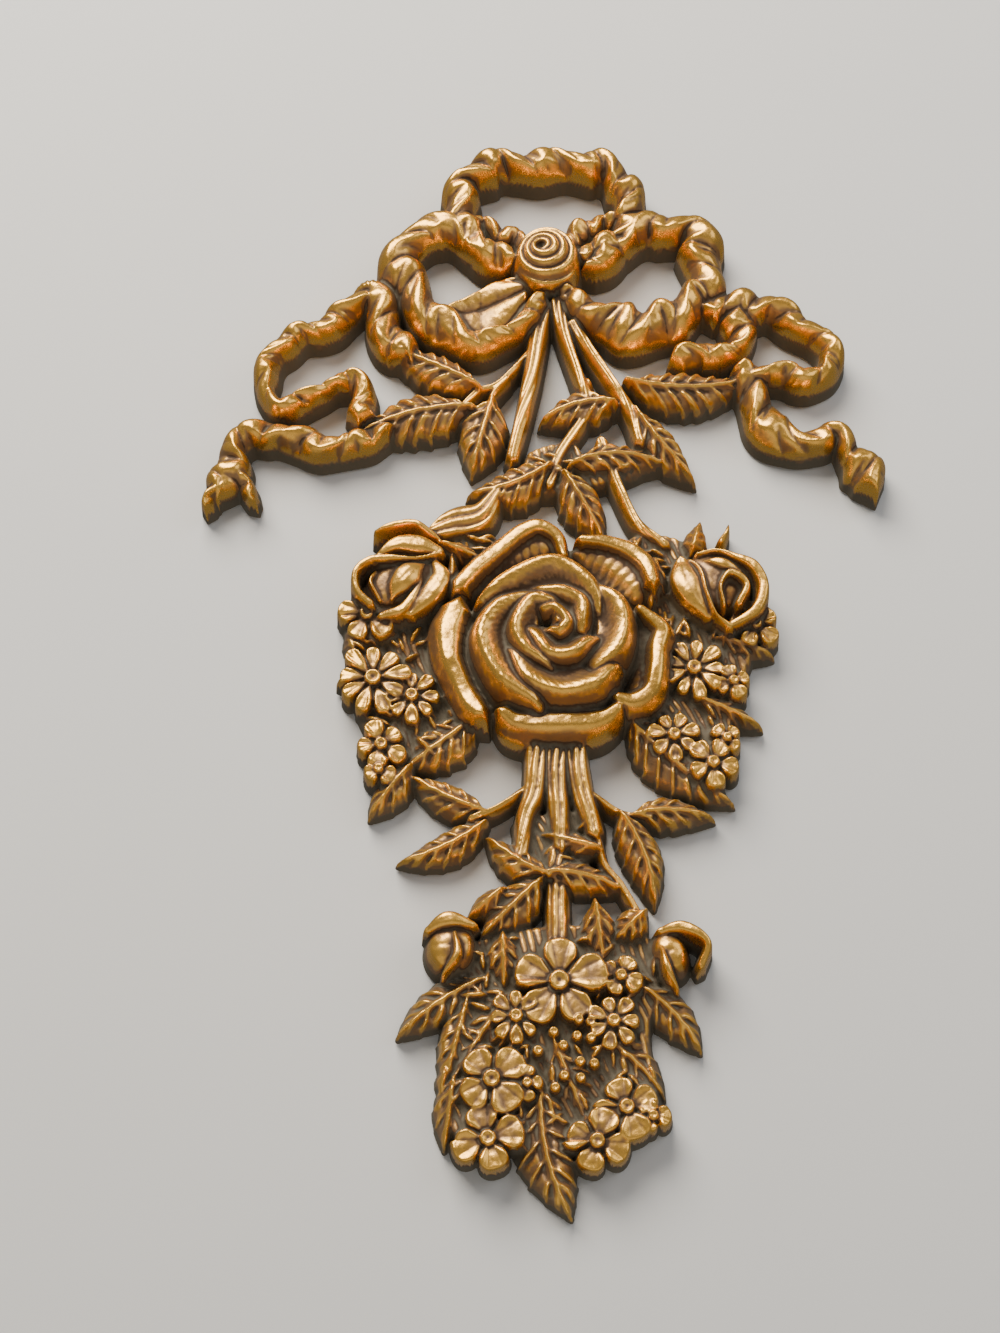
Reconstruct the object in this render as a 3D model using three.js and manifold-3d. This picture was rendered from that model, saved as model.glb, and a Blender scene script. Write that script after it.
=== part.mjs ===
// A floral wall drop: a knotted ribbon bow over a big open rose, with rosebuds, leaves and
// bouquets of small flowers, cast in one piece with a flat back.
// Millimetres, +Z up. The front faces -Y and the back lies on y = 0, which hangs on the wall.
// The origin is on the back, behind the ribbon's knot.

import * as THREE from 'three';
import * as BufferGeometryUtils from 'three/addons/utils/BufferGeometryUtils.js';
import Module from 'manifold-3d';

// Overall height, from the top of the bow to the tip of the lowest leaf. Every place and
// width below is drawn at drawnHeight and follows height as a share of it.
const height = 546;
const drawnHeight = 546;

// How far each kind of form stands forward of the flat back
const ribbonRise = 22;
const tailRise = 19;
const knotRise = 33;
const stemRise = 17;
const twigRise = 14;
const bowLeafRise = 19;
const sideLeafRise = 15;
const tipLeafRise = 14;
const roseRise = 42;
const outerPetalRise = 28;
const budRise = 28;
const flowerRise = 20;
const groundRise = 11;

// Carving
const frillPitch = 17;
const frillDepth = 3.4;
const edgeDrop = 9;
const veinRise = 2.2;
const toothShare = 0.13;
const knotGrooves = 6;
const knotGrooveDepth = 2.6;

// Steps that the curves are worked out in
const ribbonStep = 10;
const petalStep = 15;
const stemStep = 22;
const leafStep = 11;

const gilt = new THREE.MeshStandardMaterial({ color: 0x8a5c22, roughness: 0.42, metalness: 0.7 });

const share = height / drawnHeight;

// Ribbon bands: x, z and half width along the middle of each band's face
const ribbons = [
  { rise: ribbonRise, path: [
    [-21, 12, 8], [-34, 21, 10], [-42, 33, 10], [-44, 49, 10], [-41, 63, 10], [-27, 73, 10],
    [-14, 73, 10], [1, 73, 10], [16, 73, 10], [32, 70, 10], [41, 59, 10], [44, 44, 10], [41, 28, 10],
    [31, 14, 8], [22, 8, 7]] },
  { rise: ribbonRise, path: [
    [-20, 12, 8], [-35, 21, 8], [-49, 32, 10], [-62, 33, 11], [-74, 18, 12], [-72, 2, 12],
    [-62, -16, 11], [-50, -28, 11], [-35, -36, 8], [-22, -33, 6], [-12, -24, 7], [-4, -14, 6]] },
  { rise: ribbonRise, path: [
    [18, 14, 8], [35, 22, 9], [52, 31, 10], [66, 31, 10], [77, 27, 12], [80, 10, 12], [79, -7, 11],
    [68, -18, 12], [55, -26, 13], [43, -28, 14], [30, -24, 13], [18, -17, 9], [8, -10, 7]] },
  { rise: tailRise, path: [
    [-74, -39, 10], [-83, -25, 11], [-86, -9, 10], [-92, -4, 9], [-102, -15, 8], [-114, -24, 8],
    [-126, -28, 7], [-137, -37, 8], [-142, -49, 7], [-142, -61, 6], [-133, -70, 6], [-124, -67, 6],
    [-115, -63, 5], [-107, -57, 5], [-98, -56, 7], [-93, -64, 8], [-94, -75, 8]] },
  { rise: tailRise - 3, path: [
    [-83, -84, 7], [-99, -91, 8], [-112, -91, 9], [-125, -88, 9], [-137, -83, 9], [-149, -84, 8],
    [-157, -92, 9], [-158, -104, 10], [-160, -111, 11]] },
  { rise: tailRise, path: [
    [83, -17, 9], [96, -16, 11], [112, -17, 10], [124, -26, 8], [136, -36, 8], [141, -46, 7],
    [138, -56, 7], [128, -59, 8], [117, -57, 7], [105, -56, 7], [96, -55, 7]] },
  { rise: tailRise - 2, path: [
    [96, -26, 10], [95, -39, 7], [86, -45, 6], [76, -42, 9], [65, -46, 7]] },
  { rise: tailRise - 3, path: [
    [97, -58, 8], [103, -75, 11], [109, -88, 11], [119, -94, 10], [130, -93, 8], [141, -92, 8],
    [148, -103, 8], [152, -111, 12], [154, -117, 10]] },
];

// Forked end of the left tail: x, z and half width of its two tips
const forkTips = [
  { rise: tailRise - 4, path: [[-161, -108, 6], [-166, -116, 5], [-168, -123, 4]] },
  { rise: tailRise - 4, path: [[-154, -108, 6], [-149, -115, 5], [-146, -120, 4]] },
];

// Stems: x, z and half width
const stems = [
  { rise: stemRise, path: [[-3, -13, 6], [-10, -57, 5], [-20, -101, 4]] },
  { rise: stemRise, path: [[4, -13, 5], [10, -40, 4], [18, -69, 4]] },
  { rise: stemRise, path: [[12, -26, 4], [29, -57, 4], [39, -77, 4], [43, -93, 4]] },
  { rise: twigRise, path: [[-10, -40, 3], [-26, -58, 3], [-36, -62, 3], [-46, -73, 3]] },
  { rise: twigRise, path: [[-22, -55, 3], [-29, -65, 3], [-29, -77, 3]] },
  { rise: twigRise, path: [[18, -59, 4], [16, -77, 4], [4, -97, 4], [-2, -115, 4]] },
  { rise: twigRise, path: [[24, -93, 5], [31, -116, 4], [40, -138, 4], [52, -149, 4]] },
  { rise: stemRise, path: [[-60, -143, 5], [-48, -136, 9], [-36, -132, 8], [-28, -121, 4]] },
  { rise: stemRise, path: [[-12, -248, 6], [-13, -272, 6], [-18, -287, 5], [-20, -304, 4]] },
  { rise: stemRise, path: [[-3, -248, 6], [-3, -273, 6], [-2, -300, 5]] },
  { rise: stemRise, path: [[5, -248, 6], [8, -273, 6], [13, -294, 5]] },
  { rise: twigRise, path: [[-14, -270, 3], [-30, -281, 3], [-42, -286, 3]] },
  { rise: twigRise, path: [[8, -272, 3], [25, -285, 3], [38, -287, 3]] },
  { rise: twigRise, path: [[14, -296, 3], [17, -309, 3], [24, -319, 3], [33, -336, 3]] },
  { rise: twigRise, path: [[-4, -304, 6], [-5, -344, 6]] },
];

// Leaves: x and z of the base, x and z of the tip, half width, sideways bend of the midrib
const leafGroups = [
  { rise: bowLeafRise, leaves: [
    [-36, -61, -83, -34, 10, 0], [-40, -73, -95, -84, 13, -3], [-29, -69, -40, -107, 12, 0],
    [-2, -107, -42, -119, 11, 4], [31, -72, -6, -79, 10, -3], [5, -111, 23, -145, 10, 0],
    [8, -107, 55, -105, 9, 5], [41, -76, 69, -114, 9, -2], [38, -60, 101, -57, 11, -6]] },
  { rise: sideLeafRise, leaves: [
    [-40, -238, -72, -260, 12, 0], [-70, -260, -89, -283, 8, 0], [-36, -283, -71, -263, 8, 2],
    [-36, -288, -76, -305, 8, 3], [31, -240, 77, -280, 12, -3], [29, -287, 68, -287, 8, 3],
    [74, -199, 101, -207, 6, 0], [62, -229, 93, -243, 6, 0]] },
  { rise: bowLeafRise, leaves: [
    [-8, -315, -36, -294, 8, 2], [16, -303, -12, -294, 6, 0], [-9, -313, 25, -321, 8, 2],
    [25, -286, 39, -328, 9, 3], [-12, -317, -39, -341, 10, 0], [12, -327, 15, -356, 8, 0],
    [-29, -341, -29, -365, 8, 0], [34, -332, 20, -344, 8, 0], [-28, -320, -45, -333, 6, 0]] },
  { rise: tipLeafRise, leaves: [
    [-38, -360, -76, -384, 9, -2], [31, -365, 56, -393, 9, 2], [-45, -369, -56, -409, 8, 0],
    [-51, -403, -56, -433, 7, 0], [-14, -409, -3, -462, 13, -4], [13, -387, 39, -413, 9, 2],
    [-28, -368, -54, -407, 8, 0]] },
];

// Grounds behind the bouquets, and last the inside of the left loop: outlines, x and z
const grounds = [
  [[-99, -173], [-58, -177], [-37, -198], [-40, -236], [-40, -248], [-50, -258], [-70, -258],
    [-82, -253], [-92, -241], [-98, -224], [-101, -204]],
  [[48, -178], [92, -189], [94, -202], [86, -222], [81, -237], [77, -264], [62, -267], [46, -265],
    [33, -254], [31, -240], [49, -223]],
  [[-55, -358], [-46, -343], [-25, -336], [0, -334], [34, -338], [41, -365], [35, -386], [38, -408],
    [38, -420], [30, -430], [10, -436], [-13, -441], [-28, -435], [-45, -433], [-57, -424],
    [-59, -406], [-55, -385]],
  [[-22, -284], [14, -282], [18, -298], [8, -310], [-14, -310], [-22, -298]],
  [[-14, -95], [10, -89], [22, -101], [46, -95], [44, -109], [12, -119], [-12, -119]],
  [[-52, -144], [-34, -138], [-14, -147], [20, -147], [44, -140], [66, -149], [54, -188], [-54, -188]],
  [[-52, -10], [-38, -3], [-26, 2], [-12, -6], [-10, -20], [-20, -30], [-34, -35], [-46, -28]],
];

// Rose: centre, the radius of its heart, and its rolled petals as x, z and half width
const rose = { x: -4, z: -202, radius: 38 };
const rosePetals = [
  { lift: -3, path: [[-38, -192, 3], [-35, -182, 6], [-27, -173, 8], [-7, -166, 8], [9, -170, 7], [17, -177, 5], [21, -191, 3]] },
  { lift: -3, path: [[19, -176, 3], [29, -184, 7], [32, -198, 8], [28, -214, 7], [17, -227, 4]] },
  { lift: -3, path: [[14, -232, 4], [-1, -237, 6], [-16, -236, 8], [-30, -226, 8], [-37, -208, 7], [-32, -192, 5], [-20, -183, 3]] },
  { lift: -1, path: [[22, -217, 3], [12, -228, 6], [-2, -230, 6], [-16, -224, 6], [-24, -211, 4]] },
  { lift: -1, path: [[-20, -216, 3], [-22, -202, 6], [-17, -189, 6], [-6, -181, 6], [6, -183, 5], [14, -192, 4], [13, -205, 3]] },
  { lift: 0, path: [[14, -210, 3], [4, -218, 5], [-8, -216, 5], [-14, -205, 4], [-12, -195, 3]] },
];
// Outer petals, each a cushion with a rolled rim, as outlines
const outerPetals = [
  [[-54, -178], [-43, -159], [-29, -145], [-13, -138], [-2, -141], [3, -157], [-6, -171], [-30, -183]],
  [[4, -157], [14, -149], [34, -149], [46, -157], [46, -175], [34, -187], [14, -175]],
  [[30, -189], [46, -189], [55, -197], [55, -204], [50, -212], [50, -229], [42, -240], [32, -243],
    [24, -238], [28, -220]],
  [[-32, -236], [-31, -246], [-24, -253], [-8, -256], [14, -254], [25, -248], [27, -242], [16, -234],
    [-14, -234]],
  [[-58, -198], [-54, -188], [-44, -186], [-38, -192], [-36, -208], [-34, -224], [-28, -234],
    [-34, -242], [-44, -238], [-52, -228], [-56, -212]],
];
// Fullest line of a rounded rim, as a share of the way from a cushion's centre to its outline
const rimShare = 0.78;
const cushionDip = 3;

// Rosebuds: x, z, the two radii, the turn in degrees and the rise's share of budRise
const buds = [
  [-73, -168, 23, 17, 28, 1], [75, -172, 19, 18, -30, 1], [-52, -347, 13, 14, 0, 0.93],
  [44, -351, 10, 13, 20, 0.86],
];
// Overlapping petals and sepals of the buds: x, z and half width
const budBands = [
  [[-90, -172, 3], [-84, -184, 4], [-70, -185, 5], [-58, -176, 4], [-52, -163, 3]],
  [[-93, -170, 3], [-86, -158, 4], [-72, -154, 5], [-60, -158, 3]],
  [[-88, -146, 3], [-76, -144, 5], [-62, -146, 4], [-54, -152, 3]],
  [[60, -182, 3], [66, -190, 4], [80, -191, 5], [91, -182, 4], [92, -170, 3]],
  [[58, -174, 3], [64, -161, 5], [78, -156, 5], [90, -162, 3]],
  [[64, -152, 3], [70, -148, 5], [80, -150, 3], [84, -144, 2]],
  [[-62, -340, 3], [-53, -336, 5], [-42, -338, 3]],
  [[40, -342, 3], [50, -341, 4], [60, -348, 3], [57, -358, 3]],
];
const budLeaves = [[-56, -150, -32, -160, 5, 0], [-50, -156, -54, -180, 4, 2], [47, -162, 43, -185, 7, 0]];

// Small flowers: x, z, petals, outer radius, turn in degrees
const flowers = [
  [-90, -185, 5, 14, 26], [-87, -218, 9, 16, 10], [-69, -227, 8, 12, 0], [-83, -251, 5, 11, 40],
  [-84, -263, 3, 7, 90], [62, -216, 9, 14, 0], [51, -249, 7, 11, 15], [92, -194, 5, 12, 30],
  [75, -251, 4, 8, 45], [68, -263, 5, 11, 60], [80, -223, 4, 8, 20], [-5, -363, 5, 20, 14],
  [22, -361, 4, 10, 60], [-24, -378, 8, 12, 0], [18, -381, 7, 11, 0], [-35, -405, 4, 16, 38],
  [-20, -407, 4, 7, 0], [-37, -430, 4, 15, 15], [9, -432, 4, 14, 70], [22, -418, 4, 14, 20],
  [33, -422, 3, 8, 0],
];
const beadRadius = 2.8;
const beads = [
  [4, -384], [-8, -385], [-4, -391], [-15, -393], [5, -398], [-4, -404],
];

// A solid from a closed position-only mesh
function toSolid(positions, indices) {
  let geometry = new THREE.BufferGeometry();
  geometry.setAttribute('position', new THREE.Float32BufferAttribute(positions, 3));
  geometry.setIndex(indices);
  geometry = BufferGeometryUtils.mergeVertices(geometry, 1e-4);
  const mesh = new wasm.Mesh({
    numProp: 3,
    vertProperties: new Float32Array(geometry.attributes.position.array),
    triVerts: new Uint32Array(geometry.index.array),
  });
  return new wasm.Manifold(mesh);
}

// A solid through closed sections of equal length, each a loop of [x, y, z] that ends at a
// corner of the back, with both ends closed by fans from that corner
function loft(sections) {
  const positions = sections.flat(2);
  const around = sections[0].length;
  const last = (sections.length - 1) * around;
  const indices = [];
  for (let row = 0; row < last; row += around) {
    for (let i = 0; i < around; i += 1) {
      const next = (i + 1) % around;
      indices.push(row + i, row + around + i, row + next);
      indices.push(row + next, row + around + i, row + around + next);
    }
  }
  for (let i = 0; i < around - 2; i += 1) {
    indices.push(around - 1, i, i + 1);
    indices.push(last + around - 1, last + i + 1, last + i);
  }
  return toSolid(positions, indices);
}

// A smooth line through rows of [x, z, half width], as evenly spaced rows with the tangent
// and the distance run
function route(path, step) {
  const through = path.map(([x, z, half]) => new THREE.Vector3(x, half, z).multiplyScalar(share));
  const curve = new THREE.CatmullRomCurve3(through);
  const length = curve.getLength();
  const count = Math.max(2, Math.round(length / (step * share)));
  const rows = [];
  for (let i = 0; i <= count; i += 1) {
    const point = curve.getPointAt(i / count);
    const tangent = curve.getTangentAt(i / count);
    const flat = Math.hypot(tangent.x, tangent.z);
    rows.push({
      x: point.x, z: point.z, half: point.y, tx: tangent.x / flat, tz: tangent.z / flat,
      run: (length * i) / count, along: i / count,
    });
  }
  return rows;
}

// A band carried along a route: rise is the height across it, q from -1 to 1
function band(path, step, across, riseAt) {
  const sections = route(path, step).map((row) => {
    const place = (q, y) => [row.x - row.tz * q * row.half, y, row.z + row.tx * q * row.half];
    return [...across.map((q) => place(q, -riseAt(q, row))), place(1, 0), place(-1, 0)];
  });
  return loft(sections);
}

// Ribbon: a crowned band whose face rises and falls in slanting frills
function ribbon({ rise, path }) {
  const riseAt = (q, row) => {
    const frill = Math.cos((2 * Math.PI * row.run) / (frillPitch * share) + 1.1 * q);
    const ends = Math.min(1, 6 * row.along, 6 * (1 - row.along));
    return rise - edgeDrop * q * q - frillDepth * 0.5 * (1 - frill) - 2 * (1 - ends);
  };
  return band(path, ribbonStep, [-1, -0.5, 0.5, 1], riseAt);
}

function stem({ rise, path }) {
  return band(path, stemStep, [-1, 0, 1], (q) => rise - 0.3 * rise * q * q);
}

// Leaf: pointed, toothed at its edge, with a raised midrib and a hollow on each side of it
function leaf([baseX, baseZ, tipX, tipZ, half, bend], rise) {
  const length = Math.hypot(tipX - baseX, tipZ - baseZ);
  const sideX = -(tipZ - baseZ) / length;
  const sideZ = (tipX - baseX) / length;
  const count = Math.max(3, Math.round(length / leafStep));
  const path = [];
  for (let i = 0; i <= count; i += 1) {
    const t = i / count;
    const tooth = 1 + (i % 2 === 0 ? -toothShare : toothShare);
    const outline = Math.sin(Math.PI * Math.min(0.97, Math.max(0.06, t) ** 0.8)) ** 0.8;
    const off = 4 * bend * t * (1 - t);
    path.push([
      baseX + (tipX - baseX) * t + sideX * off, baseZ + (tipZ - baseZ) * t + sideZ * off,
      Math.max(0.8, half * outline * tooth),
    ]);
  }
  const sections = path.map(([x, z, width], i) => {
    const place = (q, y) => [(x + sideX * q * width) * share, y, (z + sideZ * q * width) * share];
    const droop = 2.5 * (i / count) ** 2;
    const hollow = rise - droop;
    const edge = rise - 2 * veinRise - droop - (i % 2 === 0 ? 1 : 0);
    return [place(-1, -edge), place(0, -hollow), place(1, -edge), place(1, 0), place(-1, 0)];
  });
  return loft(sections);
}

// A mound on rings about a centre: riseAt gives the height at a share of the radius and an
// angle, and the outer ring drops straight to the back
function mound(x, z, radiusX, radiusZ, turn, rings, sides, riseAt, outline = () => 1) {
  const positions = [x * share, -riseAt(0, 0), z * share];
  const angle = THREE.MathUtils.degToRad(turn);
  const put = (r, a, y) => {
    const px = r * outline(r, a) * radiusX * Math.cos(a);
    const pz = r * outline(r, a) * radiusZ * Math.sin(a);
    positions.push((x + px * Math.cos(angle) - pz * Math.sin(angle)) * share, y,
      (z + px * Math.sin(angle) + pz * Math.cos(angle)) * share);
  };
  for (const r of rings) {
    for (let i = 0; i < sides; i += 1) {
      const a = (2 * Math.PI * i) / sides;
      put(r, a, -riseAt(r, a));
    }
  }
  for (let i = 0; i < sides; i += 1) {
    put(rings[rings.length - 1], (2 * Math.PI * i) / sides, 0);
  }
  const indices = [];
  for (let i = 0; i < sides; i += 1) {
    const next = (i + 1) % sides;
    indices.push(0, 1 + i, 1 + next);
    for (let ring = 0; ring < rings.length; ring += 1) {
      const inner = 1 + ring * sides;
      const outer = inner + sides;
      indices.push(inner + i, outer + i, inner + next);
      indices.push(inner + next, outer + i, outer + next);
    }
  }
  const back = 1 + rings.length * sides;
  for (let i = 1; i < sides - 1; i += 1) {
    indices.push(back, back + i + 1, back + i);
  }
  return toSolid(positions, indices);
}

// A flat-backed cushion inside an outline of [x, z]: edge height, height at the rim line and
// height in the middle
function cushion(outline, edge, rim, middle) {
  const points = outline.map(([x, z]) => new THREE.Vector2(x * share, z * share));
  if (THREE.ShapeUtils.area(points) < 0) {
    points.reverse();
  }
  const count = points.length;
  const centre = new THREE.Vector2();
  points.forEach((point) => centre.addScaledVector(point, 1 / count));
  const positions = [];
  points.forEach((point) => positions.push(point.x, 0, point.y));
  points.forEach((point) => positions.push(point.x, -edge, point.y));
  points.forEach((point) => {
    const inner = centre.clone().lerp(point, rimShare);
    positions.push(inner.x, -rim, inner.y);
  });
  positions.push(centre.x, -middle, centre.y);
  const indices = [];
  for (let i = 0; i < count; i += 1) {
    const next = (i + 1) % count;
    for (const ring of [0, count]) {
      indices.push(ring + i, ring + next, ring + count + i);
      indices.push(ring + next, ring + count + next, ring + count + i);
    }
    indices.push(2 * count + i, 2 * count + next, 3 * count);
  }
  for (const [a, b, c] of THREE.ShapeUtils.triangulateShape(points, [])) {
    indices.push(a, c, b);
  }
  return toSolid(positions, indices);
}

function ground(outline) {
  const shape = new THREE.Shape(outline.map(([x, z]) => new THREE.Vector2(x * share, z * share)));
  const slab = new THREE.ExtrudeGeometry(shape, { depth: groundRise, bevelEnabled: false });
  slab.deleteAttribute('normal');
  slab.deleteAttribute('uv');
  slab.rotateX(Math.PI / 2);
  const merged = BufferGeometryUtils.mergeVertices(slab, 1e-4);
  return toSolid([...merged.attributes.position.array], [...merged.index.array]);
}

// Knot: a ball of wrapped strands that swirl out from a small hole
function knot() {
  const riseAt = (r, a) => {
    const ball = knotRise - 14 * r ** 2.6;
    const swirl = Math.cos(knotGrooves * (a + 1.3 * r));
    return r === 0 ? ball - 2 : ball - knotGrooveDepth * 0.5 * (1 - swirl);
  };
  return mound(0, 9, 19, 20, 0, [0.35, 0.75, 1], 18, riseAt);
}

function roseParts() {
  const heart = (r) => roseRise - 6 - 12 * r * r;
  const parts = [mound(rose.x, rose.z, rose.radius, rose.radius, 0, [0.85, 1], 14, heart)];
  for (const { lift, path } of rosePetals) {
    const rolled = (q, row) => roseRise + lift - 5 * q * q - 5 * (2 * row.along - 1) ** 4;
    parts.push(band(path, petalStep, [-1, -0.3, 0.6], rolled));
  }
  parts.push(mound(0, -199, 6, 6, 0, [0.6, 1], 8, (r) => roseRise + 1 - 3 * r * r));
  for (const outline of outerPetals) {
    parts.push(cushion(outline, 0.72 * outerPetalRise, outerPetalRise, outerPetalRise - cushionDip));
  }
  return parts;
}

function budParts() {
  const parts = [];
  for (const [x, z, radiusX, radiusZ, turn, part] of buds) {
    const rise = (r) => budRise * part * (1 - 0.42 * r ** 2.4);
    parts.push(mound(x, z, radiusX, radiusZ, turn, [0.55, 1], 10, rise));
  }
  for (const path of budBands) {
    const rolled = (q, row) => budRise - 2 - 4 * q * q - 7 * (2 * row.along - 1) ** 2;
    parts.push(band(path, petalStep, [-1, 0, 1], rolled));
  }
  for (const row of budLeaves) {
    parts.push(leaf(row, budRise - 5));
  }
  return parts;
}

// Small flower: a lobed mound, its petals cupped round a button
function flower([x, z, count, radius, turn]) {
  const lobe = (a) => 0.5 + 0.5 * Math.cos(count * a);
  const outline = (r, a) => 0.74 + 0.26 * lobe(a);
  const riseAt = (r, a) => (r === 0 ? flowerRise + 1 : flowerRise - 4 + 3 * lobe(a));
  return mound(x, z, radius, radius, turn, [1], 2 * count, riseAt, outline);
}

function bead([x, z]) {
  return mound(x, z, beadRadius, beadRadius, 0, [1], 5, (r) => flowerRise - 2 * r * r);
}

const wasm = await Module();
wasm.setup();

const pieces = [
  knot(),
  ...ribbons.map(ribbon),
  ...forkTips.map(ribbon),
  ...stems.map(stem),
  ...leafGroups.flatMap(({ rise, leaves }) => leaves.map((row) => leaf(row, rise))),
  ...grounds.map(ground),
  ...roseParts(),
  ...budParts(),
  ...flowers.map(flower),
  ...beads.map(bead),
];
const cast = pieces.reduce((sum, piece) => sum.add(piece));

const result = cast.getMesh();
const geometry = new THREE.BufferGeometry();
geometry.setAttribute('position', new THREE.Float32BufferAttribute(result.vertProperties, 3));
geometry.setIndex(new THREE.Uint32BufferAttribute(result.triVerts, 1));

const drop = new THREE.Mesh(geometry, gilt);
drop.name = 'floral_wall_drop';

const group = new THREE.Group();
group.add(drop);

export default group;
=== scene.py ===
"""Floral wall drop: a gilded casting of a ribbon bow over a rose, worked out as one carved relief."""

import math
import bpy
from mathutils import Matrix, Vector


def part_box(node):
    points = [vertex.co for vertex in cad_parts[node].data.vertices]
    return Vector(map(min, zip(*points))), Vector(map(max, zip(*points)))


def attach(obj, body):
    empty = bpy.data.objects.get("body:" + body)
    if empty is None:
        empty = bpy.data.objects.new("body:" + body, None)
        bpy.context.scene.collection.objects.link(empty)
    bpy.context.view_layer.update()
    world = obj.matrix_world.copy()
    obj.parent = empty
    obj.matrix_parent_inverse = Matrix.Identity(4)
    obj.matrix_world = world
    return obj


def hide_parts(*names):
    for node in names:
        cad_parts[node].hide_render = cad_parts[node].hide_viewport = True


bl_info = {
    "name": "Floral Wall Drop",
    "version": (1, 0, 0),
    "blender": (4, 5, 0),
    "location": "3D View > Sidebar > Wall Drop",
    "description": "Builds the carved relief of a gilded floral wall drop around its cast frame",
    "category": "Add Mesh",
}

import bmesh
import bpy
import numpy as np
from mathutils import Matrix, Vector

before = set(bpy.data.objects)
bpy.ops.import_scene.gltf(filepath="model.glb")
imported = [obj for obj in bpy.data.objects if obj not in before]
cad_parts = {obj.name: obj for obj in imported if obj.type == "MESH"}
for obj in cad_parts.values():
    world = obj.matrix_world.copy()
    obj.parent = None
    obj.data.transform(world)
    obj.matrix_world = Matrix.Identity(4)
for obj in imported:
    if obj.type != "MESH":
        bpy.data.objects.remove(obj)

CASTING = "floral_wall_drop"
CAST_LOW, CAST_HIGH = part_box(CASTING)
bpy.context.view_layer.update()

# Millimetres are the carver's unit here; drawn places follow the casting's own height
MM = 0.001
DRAWN_HEIGHT = 546.0
SHARE = (CAST_HIGH[2] - CAST_LOW[2]) / MM / DRAWN_HEIGHT

# Heights of the forms above the flat back
RIBBON_RISE = 23
TAIL_RISE = 20
KNOT_RISE = 34
KNOT_SEAT = 16
KNOT_X, KNOT_Z = 0, 9
STEM_RISE = 17
TWIG_RISE = 14
LEAF_RISE = 19
SIDE_LEAF_RISE = 15
TIP_LEAF_RISE = 14
ROSE_RISE = 42
OUTER_PETAL_RISE = 28
BUD_RISE = 28
FLOWER_RISE = 20
GROUND_RISE = 11

# Ribbon bands along the middle of their faces: x, z, half width
TOP_LOOP = [
    [-21, 12, 8], [-34, 21, 10], [-42, 33, 10], [-44, 49, 10], [-41, 63, 10], [-27, 73, 10], [-14, 73, 10],
    [1, 73, 10], [16, 73, 10], [32, 70, 10], [41, 59, 10], [44, 44, 10], [41, 28, 10], [31, 14, 8],
    [22, 8, 7]]
LEFT_LOOP = [
    [-20, 12, 8], [-35, 21, 8], [-49, 32, 10], [-62, 33, 11], [-74, 18, 12], [-72, 2, 12], [-62, -16, 11],
    [-50, -28, 11], [-35, -36, 8], [-22, -33, 6], [-12, -24, 7], [-4, -14, 6]]
RIGHT_LOOP = [
    [18, 14, 8], [35, 22, 9], [52, 31, 10], [66, 31, 10], [77, 27, 12], [80, 10, 12], [79, -7, 11],
    [68, -18, 12], [55, -26, 13], [43, -28, 14], [30, -24, 13], [18, -17, 9], [8, -10, 7]]
LEFT_TAIL = [
    [-74, -39, 10], [-83, -25, 11], [-86, -9, 10], [-92, -4, 9], [-102, -15, 8], [-114, -24, 8],
    [-126, -28, 7], [-137, -37, 8], [-142, -49, 7], [-142, -61, 6], [-133, -70, 6], [-124, -67, 6],
    [-115, -63, 5], [-107, -57, 5], [-98, -56, 7], [-93, -64, 8], [-94, -75, 8]]
LOWER_LEFT = [
    [-83, -84, 7], [-99, -91, 8], [-112, -91, 9], [-125, -88, 9], [-137, -83, 9], [-149, -84, 8],
    [-157, -92, 9], [-158, -104, 10], [-160, -111, 11]]
RIGHT_TAIL = [
    [83, -17, 9], [96, -16, 11], [112, -17, 10], [124, -26, 8], [136, -36, 8], [141, -46, 7], [138, -56, 7],
    [128, -59, 8], [117, -57, 7], [105, -56, 7], [96, -55, 7]]
RIGHT_KNUCKLE = [[96, -26, 10], [95, -39, 7], [86, -45, 6], [76, -42, 9], [65, -46, 7]]
LOWER_RIGHT = [
    [97, -58, 8], [103, -75, 11], [109, -88, 11], [119, -94, 10], [130, -93, 8], [141, -92, 8],
    [148, -103, 8], [152, -111, 12], [154, -117, 10]]
FORK_TIPS = [[[-161, -108, 6], [-166, -116, 5], [-168, -123, 4]],
             [[-154, -108, 6], [-149, -115, 5], [-146, -120, 4]]]
# Path, rise, spacing of the ruffles, where the first one is, their lean across the band, and how
# far the crest lies to the left of the middle, as a share of the half width
RIBBONS = [
    (TOP_LOOP, RIBBON_RISE, 25, 4, 0.5, -0.25), (LEFT_LOOP, RIBBON_RISE, 33, 12, 0.5, 0.25),
    (RIGHT_LOOP, RIBBON_RISE, 26, 6, -0.4, -0.2), (LEFT_TAIL, TAIL_RISE, 27, 8, 0.5, 0.2),
    (LOWER_LEFT, TAIL_RISE - 2, 26, 0, -0.4, 0.2), (RIGHT_TAIL, TAIL_RISE, 26, 6, -0.5, -0.2),
    (RIGHT_KNUCKLE, TAIL_RISE - 1, 22, 3, 0.4, 0), (LOWER_RIGHT, TAIL_RISE - 2, 27, 2, 0.5, -0.2),
    (FORK_TIPS[0], TAIL_RISE - 4, 24, 0, 0.3, 0), (FORK_TIPS[1], TAIL_RISE - 4, 24, 0, -0.3, 0)]
# Folds of the top loop's inside, seen beside the knot, in rows as those of the ribbons
INNER_FOLDS = [
    ([[-36, 36, 6], [-27, 33, 8], [-18, 27, 9], [-9, 19, 8]], RIBBON_RISE - 4, 17, 2, 0.3, 0.1),
    ([[34, 36, 6], [27, 35, 8], [18, 30, 9], [9, 20, 8]], RIBBON_RISE - 4, 17, 4, -0.3, -0.1)]
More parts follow.
